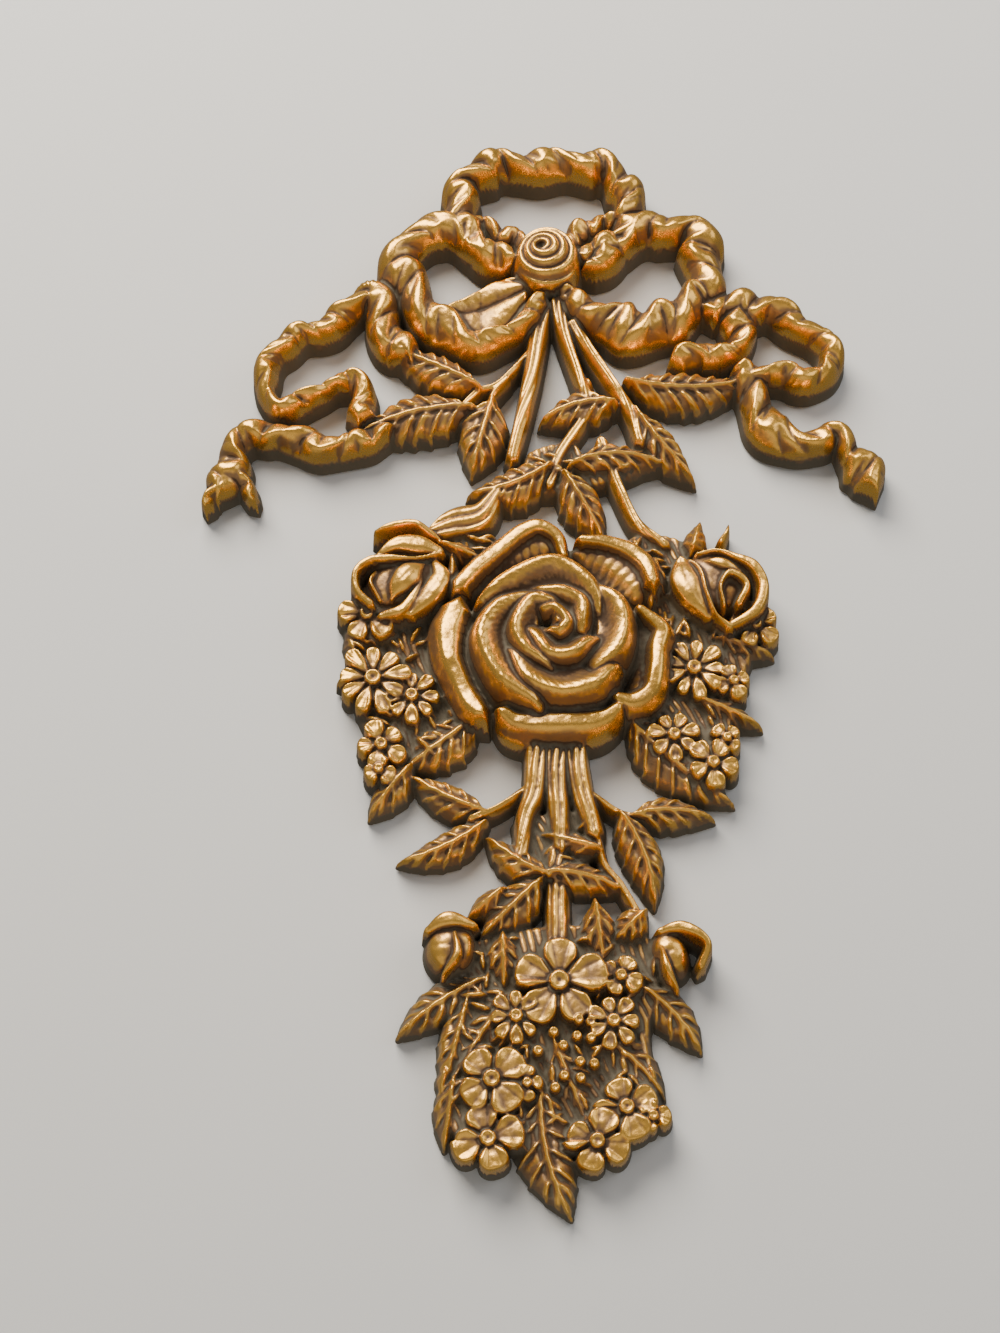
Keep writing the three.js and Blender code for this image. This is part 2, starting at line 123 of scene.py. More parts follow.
# Inside of the left loop, seen over its lower rim: outline, x and z
LEFT_POCKET = [
    [-54, -12], [-42, -4], [-28, 4], [-14, 4], [-8, -6], [-10, -20], [-20, -30], [-34, -35], [-48, -28]]
# Where its folds fan out from, and the middle of its hollow
POCKET_FAN, POCKET_MIDDLE = (-4, -4), (-34, -16)

# Stems: x, z, half width, with their rise
STEMS = [
    ([[-3, -13, 6], [-10, -57, 5], [-20, -101, 4]], STEM_RISE),
    ([[4, -13, 5], [10, -40, 4], [18, -69, 4]], STEM_RISE),
    ([[12, -26, 4], [29, -57, 4], [39, -77, 4], [43, -93, 4]], STEM_RISE),
    ([[-10, -40, 3], [-26, -58, 3], [-36, -62, 3], [-46, -73, 3]], TWIG_RISE),
    ([[-22, -55, 3], [-29, -65, 3], [-29, -77, 3]], TWIG_RISE),
    ([[18, -59, 4], [16, -77, 4], [4, -97, 4], [-2, -115, 4]], TWIG_RISE),
    ([[24, -93, 5], [31, -116, 4], [40, -138, 4], [52, -149, 4]], TWIG_RISE),
    ([[-60, -143, 5], [-48, -136, 9], [-36, -132, 8], [-28, -121, 4]], STEM_RISE),
    ([[-12, -248, 6], [-13, -272, 6], [-18, -287, 5], [-20, -304, 4]], STEM_RISE),
    ([[-3, -248, 6], [-3, -273, 6], [-2, -300, 5]], STEM_RISE),
    ([[5, -248, 6], [8, -273, 6], [13, -294, 5]], STEM_RISE),
    ([[-14, -270, 3], [-30, -281, 3], [-42, -286, 3]], TWIG_RISE),
    ([[8, -272, 3], [25, -285, 3], [38, -287, 3]], TWIG_RISE),
    ([[14, -296, 3], [17, -309, 3], [24, -319, 3], [33, -336, 3]], TWIG_RISE),
    ([[-4, -304, 6], [-5, -344, 6]], TWIG_RISE)]

# Leaves: x and z of the base, x and z of the tip, half width, sideways bend of the midrib
BOW_LEAVES = [
    [-36, -61, -83, -34, 10, 0], [-40, -73, -95, -84, 13, -3], [-29, -69, -40, -107, 12, 0],
    [-2, -107, -42, -119, 11, 4], [31, -72, -6, -79, 10, -3], [5, -111, 23, -145, 10, 0],
    [8, -107, 55, -105, 9, 5], [41, -76, 69, -114, 9, -2], [38, -60, 101, -57, 11, -6]]
SIDE_LEAVES = [
    [-40, -238, -72, -260, 12, 0], [-70, -260, -89, -283, 8, 0], [-36, -283, -71, -263, 8, 2],
    [-36, -288, -76, -305, 8, 3], [31, -240, 77, -280, 12, -3], [29, -287, 68, -287, 8, 3],
    [74, -199, 101, -207, 6, 0], [62, -229, 93, -243, 6, 0]]
LOW_LEAVES = [
    [-8, -315, -36, -294, 8, 2], [16, -303, -12, -294, 6, 0], [-9, -313, 25, -321, 8, 2],
    [25, -286, 39, -328, 9, 3], [-12, -317, -39, -341, 10, 0], [12, -327, 15, -356, 8, 0],
    [-29, -341, -29, -365, 8, 0], [34, -332, 20, -344, 8, 0],
    [-28, -320, -45, -333, 6, 0]]
TIP_LEAVES = [
    [-38, -360, -76, -384, 9, -2], [31, -365, 56, -393, 9, 2], [-45, -369, -56, -409, 8, 0],
    [-51, -403, -56, -433, 7, 0], [-14, -409, -3, -462, 13, -4], [13, -387, 39, -413, 9, 2],
    [-28, -368, -54, -407, 8, 0], [-8, -388, 6, -426, 8, 0]]

# Grounds behind the bouquets: outlines, x and z
GROUNDS = [
    [[-99, -173], [-58, -177], [-37, -198], [-40, -236], [-40, -248], [-50, -258], [-70, -258],
     [-82, -253], [-92, -241], [-98, -224], [-101, -204]],
    [[48, -178], [92, -189], [94, -202], [86, -222], [81, -237], [77, -264], [62, -267], [46, -265],
     [33, -254], [31, -240], [49, -223]],
    [[-55, -358], [-46, -343], [-25, -336], [0, -334], [34, -338], [41, -365], [35, -386], [38, -408],
     [38, -420], [30, -430], [10, -436], [-13, -441], [-28, -435], [-45, -433], [-57, -424],
     [-59, -406], [-55, -385]],
    [[-22, -284], [14, -282], [18, -298], [8, -310], [-14, -310], [-22, -298]],
    [[-14, -95], [10, -89], [22, -101], [46, -95], [44, -109], [12, -119], [-12, -119]],
    [[-52, -144], [-34, -138], [-14, -147], [20, -147], [44, -140], [66, -149], [54, -188], [-54, -188]]]

# Rose
ROSE_X, ROSE_Z, ROSE_RADIUS = -4, -202, 38
ROSE_EYE = (0, -200)
# The wound petals, from the outside in: outer rim clockwise, x and z, how far the petal slopes
# in from its rim, and its lift
ROSE_PETALS = [
    ([[-37, -184], [-27, -174], [-9, -165], [4, -166], [15, -175], [20, -185], [20, -195]], 12, -3),
    ([[17, -179], [29, -186], [33, -199], [29, -215], [15, -226]], 12, -3),
    ([[-12, -241], [-31, -228], [-40, -206], [-32, -189], [-16, -183], [-3, -185]], 12, -3),
    ([[26, -223], [17, -234], [-1, -238], [-18, -230], [-25, -213]], 12, -2),
    ([[-6, -224], [-19, -216], [-24, -202], [-15, -186], [-3, -187], [1, -193]], 9, 0),
    ([[-11, -181], [4, -182], [14, -190], [12, -207]], 9, -1),
    ([[17, -210], [6, -220], [-8, -219], [-17, -204]], 8, 0),
    ([[-10, -192], [-2, -191], [4, -196], [6, -203], [0, -209], [-7, -206]], 6, 1)]
# Outer petals: outline of the dished part, x and z, then the rolled rim, x, z and half width
OUTER_PETALS = [
    ([[-54, -178], [-43, -159], [-29, -145], [-13, -138], [-2, -141], [3, -157], [-6, -171], [-30, -183]],
     [[-46, -175, 8], [-38, -166, 8], [-28, -157, 8], [-17, -148, 8], [-8, -145, 7], [0, -150, 6],
      [3, -160, 4]]),
    ([[4, -157], [14, -149], [34, -149], [46, -157], [46, -175], [34, -187], [14, -175]],
     [[12, -153, 5], [24, -154, 7], [34, -158, 8], [41, -165, 8], [44, -175, 6]]),
    ([[30, -189], [46, -189], [55, -197], [55, -204], [50, -212], [50, -229], [42, -240], [32, -243],
      [24, -238], [28, -220]],
     [[38, -190, 5], [47, -199, 8], [45, -209, 8], [44, -220, 8], [41, -230, 8], [33, -235, 8],
      [26, -234, 6]]),
    ([[-32, -236], [-31, -246], [-24, -253], [-8, -256], [14, -254], [25, -248], [27, -242], [16, -234],
      [-14, -234]],
     [[-27, -240, 6], [-20, -244, 8], [-6, -245, 10], [8, -245, 10], [19, -243, 8], [25, -239, 6]]),
    ([[-58, -198], [-54, -188], [-44, -186], [-38, -192], [-36, -208], [-34, -224], [-28, -234],
      [-34, -242], [-44, -238], [-52, -228], [-56, -212]],
     [[-48, -187, 11], [-51, -197, 12], [-51, -211, 10], [-46, -225, 9], [-41, -235, 9], [-38, -239, 7]])]

# Rosebuds: x, z, the two radii, the turn in degrees and the share of the bud's rise
BUDS = [
    [-73, -168, 23, 17, 28, 1], [75, -172, 19, 18, -30, 1], [-52, -347, 13, 14, 0, 0.93],
    [44, -351, 10, 13, 20, 0.86]]
# Petals and sepals over the buds: x, z and half width along each, its lift and its end drop
BUD_BANDS = [
    ([[-84, -158, 3], [-76, -153, 5], [-66, -153, 6], [-56, -156, 4]], 0, 3),
    ([[-55, -158, 2], [-67, -161, 2], [-79, -161, 3], [-89, -162, 3], [-95, -168, 3], [-94, -177, 3],
      [-88, -183, 3]], 1, 3),
    ([[-63, -163, 2], [-69, -168, 7], [-75, -175, 6], [-78, -180, 2]], 1, 5),
    ([[-86, -166, 2], [-88, -172, 2], [-84, -180, 2]], -2, 3),
    ([[-58, -161, 3], [-55, -170, 6], [-61, -180, 6], [-69, -187, 4]], -1, 4),
    ([[-62, -164, 1], [-66, -176, 3], [-73, -186, 4], [-83, -188, 3]], -2, 4),
    ([[-86, -143, 2], [-79, -141, 3], [-68, -140, 3], [-60, -145, 3], [-55, -149, 2]], -4, 3),
    ([[-51, -163, 2], [-51, -172, 2], [-55, -178, 3]], -7, 3),
    ([[59, -163, 5], [60, -172, 8], [64, -182, 7], [70, -190, 4]], -2, 5),
    ([[62, -160, 1], [67, -170, 2], [69, -181, 2], [73, -192, 2], [79, -198, 3]], 0, 4),
    ([[66, -160, 2], [75, -159, 2], [84, -163, 3], [92, -168, 4], [96, -178, 4], [92, -190, 4],
      [80, -197, 3]], 0, 4),
    ([[70, -164, 2], [77, -166, 4], [85, -170, 3]], -1, 3),
    ([[77, -188, 2], [76, -178, 2], [81, -172, 3], [88, -178, 3], [84, -187, 3]], 1, 2),
    ([[79, -150, 3], [82, -145, 2], [83, -140, 1]], -8, 2),
    ([[-62, -340, 3], [-53, -336, 5], [-42, -338, 3]], -3, 4),
    ([[-55, -360, 2], [-49, -352, 3], [-50, -342, 2]], -1, 4),
    ([[40, -342, 3], [50, -341, 4], [60, -348, 3], [57, -358, 3]], -4, 4),
    ([[40, -350, 2], [42, -360, 3], [46, -368, 2]], -3, 4)]
BUD_LEAVES = [[-56, -150, -32, -160, 6, 0], [-50, -156, -54, -180, 4, 2], [47, -162, 43, -185, 8, 0],
              [64, -157, 70, -138, 6, 0]]

# Small flowers: x, z, petals, outer radius, turn in degrees, 1 where the petals are cupped
FLOWERS = [
    [-90, -185, 5, 14, 26, 0], [-87, -218, 9, 17, 10, 0], [-69, -227, 8, 13, 0, 1],
    [-83, -251, 5, 12, 40, 0], [-84, -263, 3, 8, 90, 0], [62, -216, 9, 15, 0, 0], [51, -249, 7, 12, 15, 1],
    [92, -194, 5, 12, 30, 0], [75, -251, 4, 8, 45, 1], [68, -263, 5, 12, 60, 0], [80, -223, 4, 9, 20, 0],
    [-5, -363, 5, 20, 14, 0], [22, -361, 4, 10, 60, 0], [-24, -378, 8, 12, 0, 1], [18, -381, 7, 12, 0, 1],
    [-35, -405, 4, 16, 38, 0], [-20, -407, 4, 8, 0, 0], [-37, -430, 4, 15, 15, 0], [9, -432, 4, 14, 70, 0],
    [22, -418, 4, 14, 20, 0], [33, -422, 3, 8, 0, 0]]
BEADS = [
    [8, -381], [2, -387], [8, -388], [3, -380], [-8, -385], [-4, -391], [-15, -393], [3, -398], [9, -399],
    [3, -405], [-4, -404], [-8, -409]]
# How dull and dusty the gilding is on each kind of form, from 0 to 1
DULL = {"ribbon": 0.1, "knot": 0.15, "rose": 0.05, "stem": 0.5, "leaf": 0.5, "bud": 0.3,
        "flower": 0.3, "ground": 1.0}

# Ground for each small leaf, in square millimetres
GROUND_LEAF_AREA = 60

# Lower and upper corner of the relief's grid, x and z
GRID_LOW, GRID_HIGH = (-178, -474), (172, 86)
# How far below the back the slope at a form's edge is carried on
OUTSIDE = 4.0
# Least height of a form, and how far a rolled edge goes in for its steep side
LEAST_RISE = 2
SIDE_RUN = 1.4
# Points on each stretch of a band's middle line, and of an outline
LINE_STEPS = 24
OUTLINE_STEPS = 6
# How far a ribbon's crest swings, as a share of its half width, and the depth of pleats and creases
CREST_SWING = 0.45
PLEAT_DEPTH = 2.6
CREASE_DEPTH = 3.4
# Distance between the side veins of a leaf, and the depth of its teeth as a share of its width
VEIN_SPACING = 7.5
TOOTH_SHARE = 0.14
# The knot's radii in x and z, its hole and the way in which the strands' circles move off
KNOT_RADII = (18.5, 20.0)
KNOT_HOLE = (-3.0, 3.5)
KNOT_DRIFT = (0.55, -0.83)
# Width of the strands, and how much each circle moves on from the last
STRAND_WIDTH, STRAND_MOVE = 4.2, 1.0
# Depth and width of the dents of the cast surface, and the blur that softens the whole
DENTS, ROUGHNESS, GRAIN = (0.16, 3.5), (0.08, 1.6), (0.04, 0.6)
CAST_BLUR = 0.35
# Height from which on there are dents, and the height below which nothing is cast
DENTED_RISE = 1.5
THINNEST = 0.1
# Where the casting's mesh is parted, through thin places
LEFT_CUT, RIGHT_CUT = -106.0, 113.0
LOW_CUT, TIP_CUT = -136.0, -285.0
# How far round a face points where it belongs to the back or to an upright wall, and how far
# in front of the back a face is rounded in any case, in metres
BACK_NORMAL, WALL_NORMAL = 0.999, 0.001
BACK_SKIN = 0.0001
# The finish of the plain back, where two pieces of the relief meet
BACK_FINISH = {"recess": 0.5, "wall": 0.8, "bright": 0.0, "dull": 1.0}

# The room, in metres: a wall just behind the drop, a floor, two lights and a faint sky
ROOM_SIDE = 2
WALL_Y, WALL_TOP = 0.0015, 1.6
FLOOR_Z, FLOOR_FRONT = -1.45, -3
WALL_COLOUR, FLOOR_COLOUR = (0.80, 0.79, 0.77), (0.78, 0.77, 0.75)
# Name, place, size, power and colour of the lights, and the point they face
LAMPS = [
    ("window", (-0.5, -1.2, 0.9), 1.3, 48.0, (1.0, 0.94, 0.84)),
    ("room", (0.95, -0.9, 0.1), 1.0, 4.0, (0.94, 0.96, 1.0))]
LAMP_TARGET = (0.0, 0.0, -0.2)
SKY_COLOUR, SKY_STRENGTH = (0.85, 0.88, 0.92, 1.0), 0.22
# The photograph's viewpoint: the camera hangs below the middle of the drop and looks up
CAMERA_PLACE = (-0.028, -0.868, -0.587)
CAMERA_TILT = math.radians(23.7)
CAMERA_ROLL = 0.0197
CAMERA_LENS, CAMERA_SENSOR = 54.07, 36.0

# The relief that the operators carve
relief = None


def settings():
    """The sizes and colours in the panel."""
    return bpy.context.scene.wall_drop


class Relief:
    """Height of the front above the flat back in millimetres, on a grid in X and Z."""

    def __init__(self, low, high, step):
        self.low, self.step = low, step
        self.x = np.arange(low[0], high[0] + step, step)
        self.z = np.arange(low[1], high[1] + step, step)
        self.height = np.full((len(self.z), len(self.x)), -OUTSIDE)
        self.dull = np.ones(self.height.shape)

    def patch(self, points, margin):
        """The part of the grid within a margin of some points, and its X and Z."""
        points = np.asarray(points, float)[:, :2]
        low = np.floor((points.min(0) - margin - self.low) / self.step).astype(int).clip(0)
        high = np.ceil((points.max(0) + margin - self.low) / self.step).astype(int)
        where = (slice(low[1], high[1]), slice(low[0], high[0]))
        return where, *np.meshgrid(self.x[where[1]], self.z[where[0]])

    def lay(self, where, height, kind, fillet=1.0):
        """Lays a form over what is there: the higher surface shows, and a small fillet of
        (f - |a - b|)^2 / 4f fills the line where two forms meet."""
        old = self.height[where]
        self.dull[where] = np.where(height > old, DULL[kind], self.dull[where])
        near = np.maximum(fillet - np.abs(old - height), 0) ** 2 / (4 * fillet)
        met = (old > 0) & (height > 0)
        self.height[where] = np.maximum(old, height) + near * met


def shoulder(inside, face, wall):
    """A form's height from how far a point is inside its edge: face * (1 - (1 - d / wall)^2)
    within wall of the edge, the full face beyond, and the same slope carried on outside."""
    d = np.minimum(inside / wall, 1)
    face = np.maximum(face, LEAST_RISE)
    return np.where(d > 0, face * (1 - (1 - d) ** 2), np.maximum(2 * face * d, -OUTSIDE))


def rolled(inside, face, roll):
    """A rolled form's height: a steep side up to half the face, then face / 2 * (1 - (1 - d / roll)^2)
    more, so that the edge rolls over within the distance roll."""
    over = 1 - (1 - np.clip(inside / roll, 0, 1)) ** 2
    side = inside / SIDE_RUN
    side = np.where(inside > 0, np.clip(side, 0, 1), np.maximum(side, -0.5))
    return np.maximum(face, LEAST_RISE) * (0.5 * side + 0.5 * over)


def blurred(field, radius):
    """Gaussian blur of a grid, radius in cells, as a product in the frequency domain."""
    rows = np.fft.fftfreq(field.shape[0])[:, None]
    columns = np.fft.rfftfreq(field.shape[1])[None, :]
    window = np.exp(-2 * (np.pi * radius) ** 2 * (rows**2 + columns**2))
    return np.fft.irfft2(np.fft.rfft2(field) * window, s=field.shape)


def curve(a, b, c, d, steps):
    """Points on the Catmull-Rom curve from b to c, with a before b and d after c:
    0.5 * (2b + (c - a) t + (2a - 5b + 4c - d) t^2 + (3b - a - 3c + d) t^3)."""
    t = np.linspace(0, 1, steps, endpoint=False)[None, :, None]
    return 0.5 * (2 * b + (c - a) * t + (2 * a - 5 * b + 4 * c - d) * t**2 + (3 * b - a - 3 * c + d) * t**3)


def centre_line(path):
    """A curve through rows of x, z and half width, with its points about a millimetre apart,
    and the distance run to each of them."""
    p = np.asarray(path, float) * SHARE
    p = np.vstack([2 * p[0] - p[1], p, 2 * p[-1] - p[-2]])
    line = curve(*(p[i:len(p) - 3 + i, None, :] for i in range(4)), LINE_STEPS)
    line = np.vstack([line.reshape(-1, p.shape[1]), p[-2]])
    run = np.concatenate([[0], np.cumsum(np.hypot(*np.diff(line[:, :2], axis=0).T))])
    even = np.linspace(0, run[-1], max(int(run[-1]), 3) + 1)
    return np.stack([np.interp(even, run, line[:, i]) for i in range(line.shape[1])], axis=1), even


def along_line(line, run, x, z):
    """For every point of a patch: the distance run along a line to its nearest point, the offset
    to the line's left, the line's half width there, and how far the point is past its ends."""
    tangent = np.gradient(line[:, :2], axis=0)
    tangent /= np.hypot(tangent[:, 0], tangent[:, 1])[:, None]
    px, pz = x.ravel().astype(np.float32), z.ravel().astype(np.float32)
    gap = (px[:, None] - line[None, :, 0].astype(np.float32)) ** 2
    gap += (pz[:, None] - line[None, :, 1].astype(np.float32)) ** 2
    k = gap.argmin(axis=1)
    dx, dz = px - line[k, 0], pz - line[k, 1]
    ahead = dx * tangent[k, 0] + dz * tangent[k, 1]
    aside = -dx * tangent[k, 1] + dz * tangent[k, 0]
    past = np.where((k == 0) | (k == len(line) - 1), np.maximum(np.abs(ahead) - 0.5, 0), 0)
    s = np.clip(run[k] + ahead, 0, run[-1])
    half = np.interp(s, run, line[:, 2]) if line.shape[1] > 2 else np.ones_like(s)
    return (v.reshape(x.shape) for v in (s, aside, half, past))


def band(path, margin):
    """The patch round a band's middle line, the line's length and what along_line finds there."""
    line, run = centre_line(path)
    where, x, z = relief.patch(line, margin)
    return where, run[-1], *along_line(line, run, x, z)


def ribbon(path, rise, pitch, first, lean, bias):
    """A ruffled ribbon. Its crest winds from side to side at the share bias + CREST_SWING sin(turn)
    of the half width. The face falls from it on both sides by (1 + depth * left) t^1.3: t runs
    from 0 at the crest to 1 at the edge, and left from 0 to 1 as the crest moves away from that
    side. Pleats fan out on the side it has left, and slanting creases part the band into bulges."""
    where, _, s, aside, half, past = band(path, 18)
    q = np.clip(aside / half, -1.3, 1.3)
    turn = 2 * np.pi * (s - first + lean * aside) / pitch + 0.7 * np.sin(s / 19.0 + first)
    swing = np.sin(turn)
    crest = bias + CREST_SWING * swing
    t = np.where(q > crest, (q - crest) / (1 - crest), (crest - q) / (1 + crest))
    left = np.where(q > crest, 1 - swing, 1 + swing) / 2
    depth = settings().fold_depth / MM
    fall = (1.0 + depth * left) * np.clip(t, 0, 1.3) ** 1.3
    pleat = np.abs(np.sin(1.5 * turn + 1.1 * q + first)) ** 0.6 - 0.6
    slant = np.pi * (s + 1.3 * lean * aside) / (0.62 * pitch) + 0.8 * np.sin(s / 13.0)
    crease = np.abs(np.cos(slant)) ** 0.5 - 0.78
    face = rise + 1.4 - fall + PLEAT_DEPTH * pleat * left * np.clip(2.2 * t, 0, 1) + CREASE_DEPTH * crease
    hem = half * (0.99 + 0.12 * swing * np.sign(q)) - np.abs(aside) - past
    relief.lay(where, rolled(hem, face, 0.7 * half), "ribbon", 0.8)


def pocket():
    """The inside of the left loop: a hollow with folds that fan from the knot."""
    where, x, z = relief.patch(np.asarray(LEFT_POCKET) * SHARE, 6)
    inside = signed_inside(smooth_outline(LEFT_POCKET), x, z)
    a = np.arctan2(z - POCKET_FAN[1], x - POCKET_FAN[0])
    folds = 2.6 * np.abs(np.sin(5.5 * a)) ** 0.7
    face = 9 + 0.25 * np.abs(x - POCKET_MIDDLE[0]) + folds + 0.2 * (z - POCKET_MIDDLE[1])
    relief.lay(where, shoulder(inside, face, 4.0), "ribbon")


def stem(path, rise):
    """A rounded stem with lengthwise strands: rise - 3 q^2 plus narrow ribs."""
    where, _, s, aside, half, past = band(path, 8)
    q = aside / half
    strands = 1.6 * np.abs(np.sin(np.pi * (1.6 * q + 0.03 * s + 0.3 * np.sin(s / 9.0)))) ** 0.7
    face = rise - 3.0 * q * q + strands - 0.5
    relief.lay(where, shoulder(half + 0.6 - np.abs(aside) - past, face, 2.8), "stem", 0.6)


def leaf(row, rise, seed=0):
    """A pointed leaf. With u from base to tip and v across: half width
    w = half * sin(pi u^0.8)^0.75 with teeth; the face falls to its edges and its tip, and
    bulges between side veins that slant forward from the midrib."""
    base_x, base_z, tip_x, tip_z, half, bend = (value * SHARE for value in row)
    length = math.hypot(tip_x - base_x, tip_z - base_z)
    ux, uz = (tip_x - base_x) / length, (tip_z - base_z) / length
    where, x, z = relief.patch([[base_x, base_z], [tip_x, tip_z]], half + 8)
    u = ((x - base_x) * ux + (z - base_z) * uz) / length
    v = -(x - base_x) * uz + (z - base_z) * ux - 4 * bend * u * (1 - u)
    along = np.clip(u, 0, 1)
    past = np.abs(u - along) * length
    spine = np.maximum(np.sin(np.pi * np.clip(along, 0.03, 0.985) ** 0.8), 0) ** 0.75
    side = np.where(v > 0, 0.5, 0)
    pairs = max(4, round(length / VEIN_SPACING))
    q = np.abs(v) / np.maximum(half * spine, 1)
    phase = pairs * along - 1.2 * np.minimum(q, 1.3) ** 0.8 + side + 0.13 * seed
    phase = phase + 0.12 * np.sin(5 * phase + seed)
    saw = phase - np.floor(phase)
    tooth = (0.5 - saw) * np.minimum(1, 6 * (1 - along))
    width = half * spine * (1 + TOOTH_SHARE * tooth) + 0.8
    depth = settings().vein_depth / MM * np.clip(half / 9, 0.5, 1)
    vein = np.exp(-((np.minimum(saw, 1 - saw)) / 0.15) ** 2) * np.clip(3 * q, 0, 1)
    panel = np.sin(np.pi * saw) * np.clip(2 * q, 0, 1) * np.clip(3.2 - 2.4 * q, 0, 1)
    fine = 0.35 * np.sin(4 * np.pi * phase) * np.clip(2 * q, 0, 1)
    rib = 1.5 * np.exp(-(v / 1.0) ** 2) - 1.0 * np.exp(-((np.abs(v) - 2.6) / 1.2) ** 2)
    twist = 1.8 * np.sin(2.6 * along + 1.7 * seed) * np.clip(v / half, -1, 1)
    face = rise + rib + depth * (vein - panel) + fine + twist
    face = face - 0.32 * rise * np.clip(q, 0, 1.2) ** 2.2 - 0.35 * rise * along**2.5
    relief.lay(where, rolled(width - np.abs(v) - past, np.maximum(face, 5), 4.0), "leaf", 0.5)


def knot():
    """A ball of wrapped strands: seat + (rise - seat) sqrt(1 - 0.96 r^2). The strands run on
    circles whose centres move off from the hole as they grow: at the distance d and the offset o
    along that move, ring k solves k^2 (w^2 - m^2) + 2 k o m = d^2, and they wind as a spiral."""
    where, x, z = relief.patch([[KNOT_X, KNOT_Z]], 26)
    x, z = x - KNOT_X, z - KNOT_Z
    r = np.hypot(x / KNOT_RADII[0], z / KNOT_RADII[1])
    hole_x, hole_z = x - KNOT_HOLE[0], z - KNOT_HOLE[1]
    d = np.hypot(hole_x, hole_z)
    o = KNOT_DRIFT[0] * hole_x + KNOT_DRIFT[1] * hole_z
    spare = STRAND_WIDTH**2 - STRAND_MOVE**2
    ring = (-o * STRAND_MOVE + np.sqrt((o * STRAND_MOVE) ** 2 + spare * d**2)) / spare
    a = np.arctan2(hole_z, hole_x)
    strand = np.abs(np.sin(np.pi * (ring - a / (2 * np.pi)))) ** 0.7
    ball = KNOT_SEAT + (KNOT_RISE - KNOT_SEAT) * np.sqrt(np.clip(1 - 0.96 * r**2, 0, 1))
    pit = 6 * np.exp(-(d / 2.4) ** 2)
    face = ball - 2.6 * (1 - strand) * np.clip(d / 3.0, 0, 1) - pit
    relief.lay(where, shoulder(19.0 * (1 - r), face, 3.0), "knot", 0.5)


def signed_inside(outline, x, z):
    """Distance inside a closed outline: the least distance to its sides, negative outside."""
    points = np.asarray(outline, float) * SHARE
    nearest = np.full(x.shape, 1e9)
    inside = np.zeros(x.shape, bool)
    for a, b in zip(points, np.roll(points, -1, axis=0)):
        side = b - a
        t = np.clip(((x - a[0]) * side[0] + (z - a[1]) * side[1]) / (side @ side), 0, 1)
        nearest = np.minimum(nearest, np.hypot(x - a[0] - t * side[0], z - a[1] - t * side[1]))
        crosses = ((a[1] > z) != (b[1] > z))
        rise = side[1] if side[1] != 0 else 1e-9
        inside ^= crosses & (x < a[0] + (z - a[1]) * side[0] / rise)
    return np.where(inside, nearest, -nearest)


def smooth_outline(outline):
    """The same outline with its corners rounded, as a closed curve."""
    p = np.asarray(outline, float)
    return curve(*(np.roll(p, 1 - i, axis=0)[:, None, :] for i in range(4)), OUTLINE_STEPS).reshape(-1, 2)


def ground(outline, seed):
    """A low ground: it undulates, is scored by fine strands and carries small seeded leaves."""
    where, x, z = relief.patch(np.asarray(outline) * SHARE, 6)
    shape = smooth_outline(outline)
    inside = signed_inside(shape, x, z)
    strands = np.abs(np.sin(0.8 * x + 1.3 * np.sin(z / 7.0 + seed) + 0.35 * z)) ** 0.8
    face = GROUND_RISE - 1.5 + 1.3 * strands + 1.3 * np.sin(x / 5.0 + seed) * np.sin(z / 6.0)
    relief.lay(where, shoulder(inside, face, 3.5), "ground")
    chance = np.random.default_rng(20 + seed)
    low, high = shape.min(0), shape.max(0)
    middle = (low + high) / 2
    for number in range(int((high - low).prod() / GROUND_LEAF_AREA)):
        place = low + chance.random(2) * (high - low)
        out = math.atan2(*(place - middle)[::-1]) + chance.normal(0, 0.7)
        size = chance.uniform(9, 15)
        tip = place + size * np.array([math.cos(out), math.sin(out)])
        fits = signed_inside(shape, np.array([place[0], tip[0]]), np.array([place[1], tip[1]]))
        if fits.min() > 1.5:
            leaf([*place, *tip, size * 0.28, 0], GROUND_RISE + chance.uniform(2, 4), number)


def outer_petal(outline, rim, seed):
    """An outer petal: a dish that is lowest near the rose, and a fat rolled rim, nicked on the
    side of the rose."""
    where, x, z = relief.patch(np.asarray(outline) * SHARE, 10)
    inside = signed_inside(smooth_outline(outline), x, z)
    toward = np.hypot(x - ROSE_X, z - ROSE_Z)
    a = np.arctan2(z - ROSE_Z, x - ROSE_X)
    rays = 0.5 * np.abs(np.sin(34 * a + seed)) ** 0.6
    dish = OUTER_PETAL_RISE - 6 - 5 * np.exp(-((toward - 39) / 6.0) ** 2) + rays
    relief.lay(where, rolled(inside, dish, 8.0), "bud")
    line, run = centre_line(rim)
    s, aside, half, past = along_line(line, run, x, z)
    q = aside / half
    inner = np.where(np.hypot(line[:, 0] - ROSE_X, line[:, 1] - ROSE_Z).mean() > toward, 1, 0)
    nick = 1.3 * np.exp(-(((s / 5.5 + 0.2 * np.sin(s)) % 1 - 0.5) / 0.09) ** 2)
    face = OUTER_PETAL_RISE + 0.7 * np.sin(s / 6.0 + seed) - 3 * np.abs(q) ** 2.2
    face = face - nick * inner * np.clip((np.abs(q) - 0.35) / 0.3, 0, 1)
    relief.lay(where, rolled(half - np.abs(aside) - past, face, 0.8 * half), "rose", 2.0)


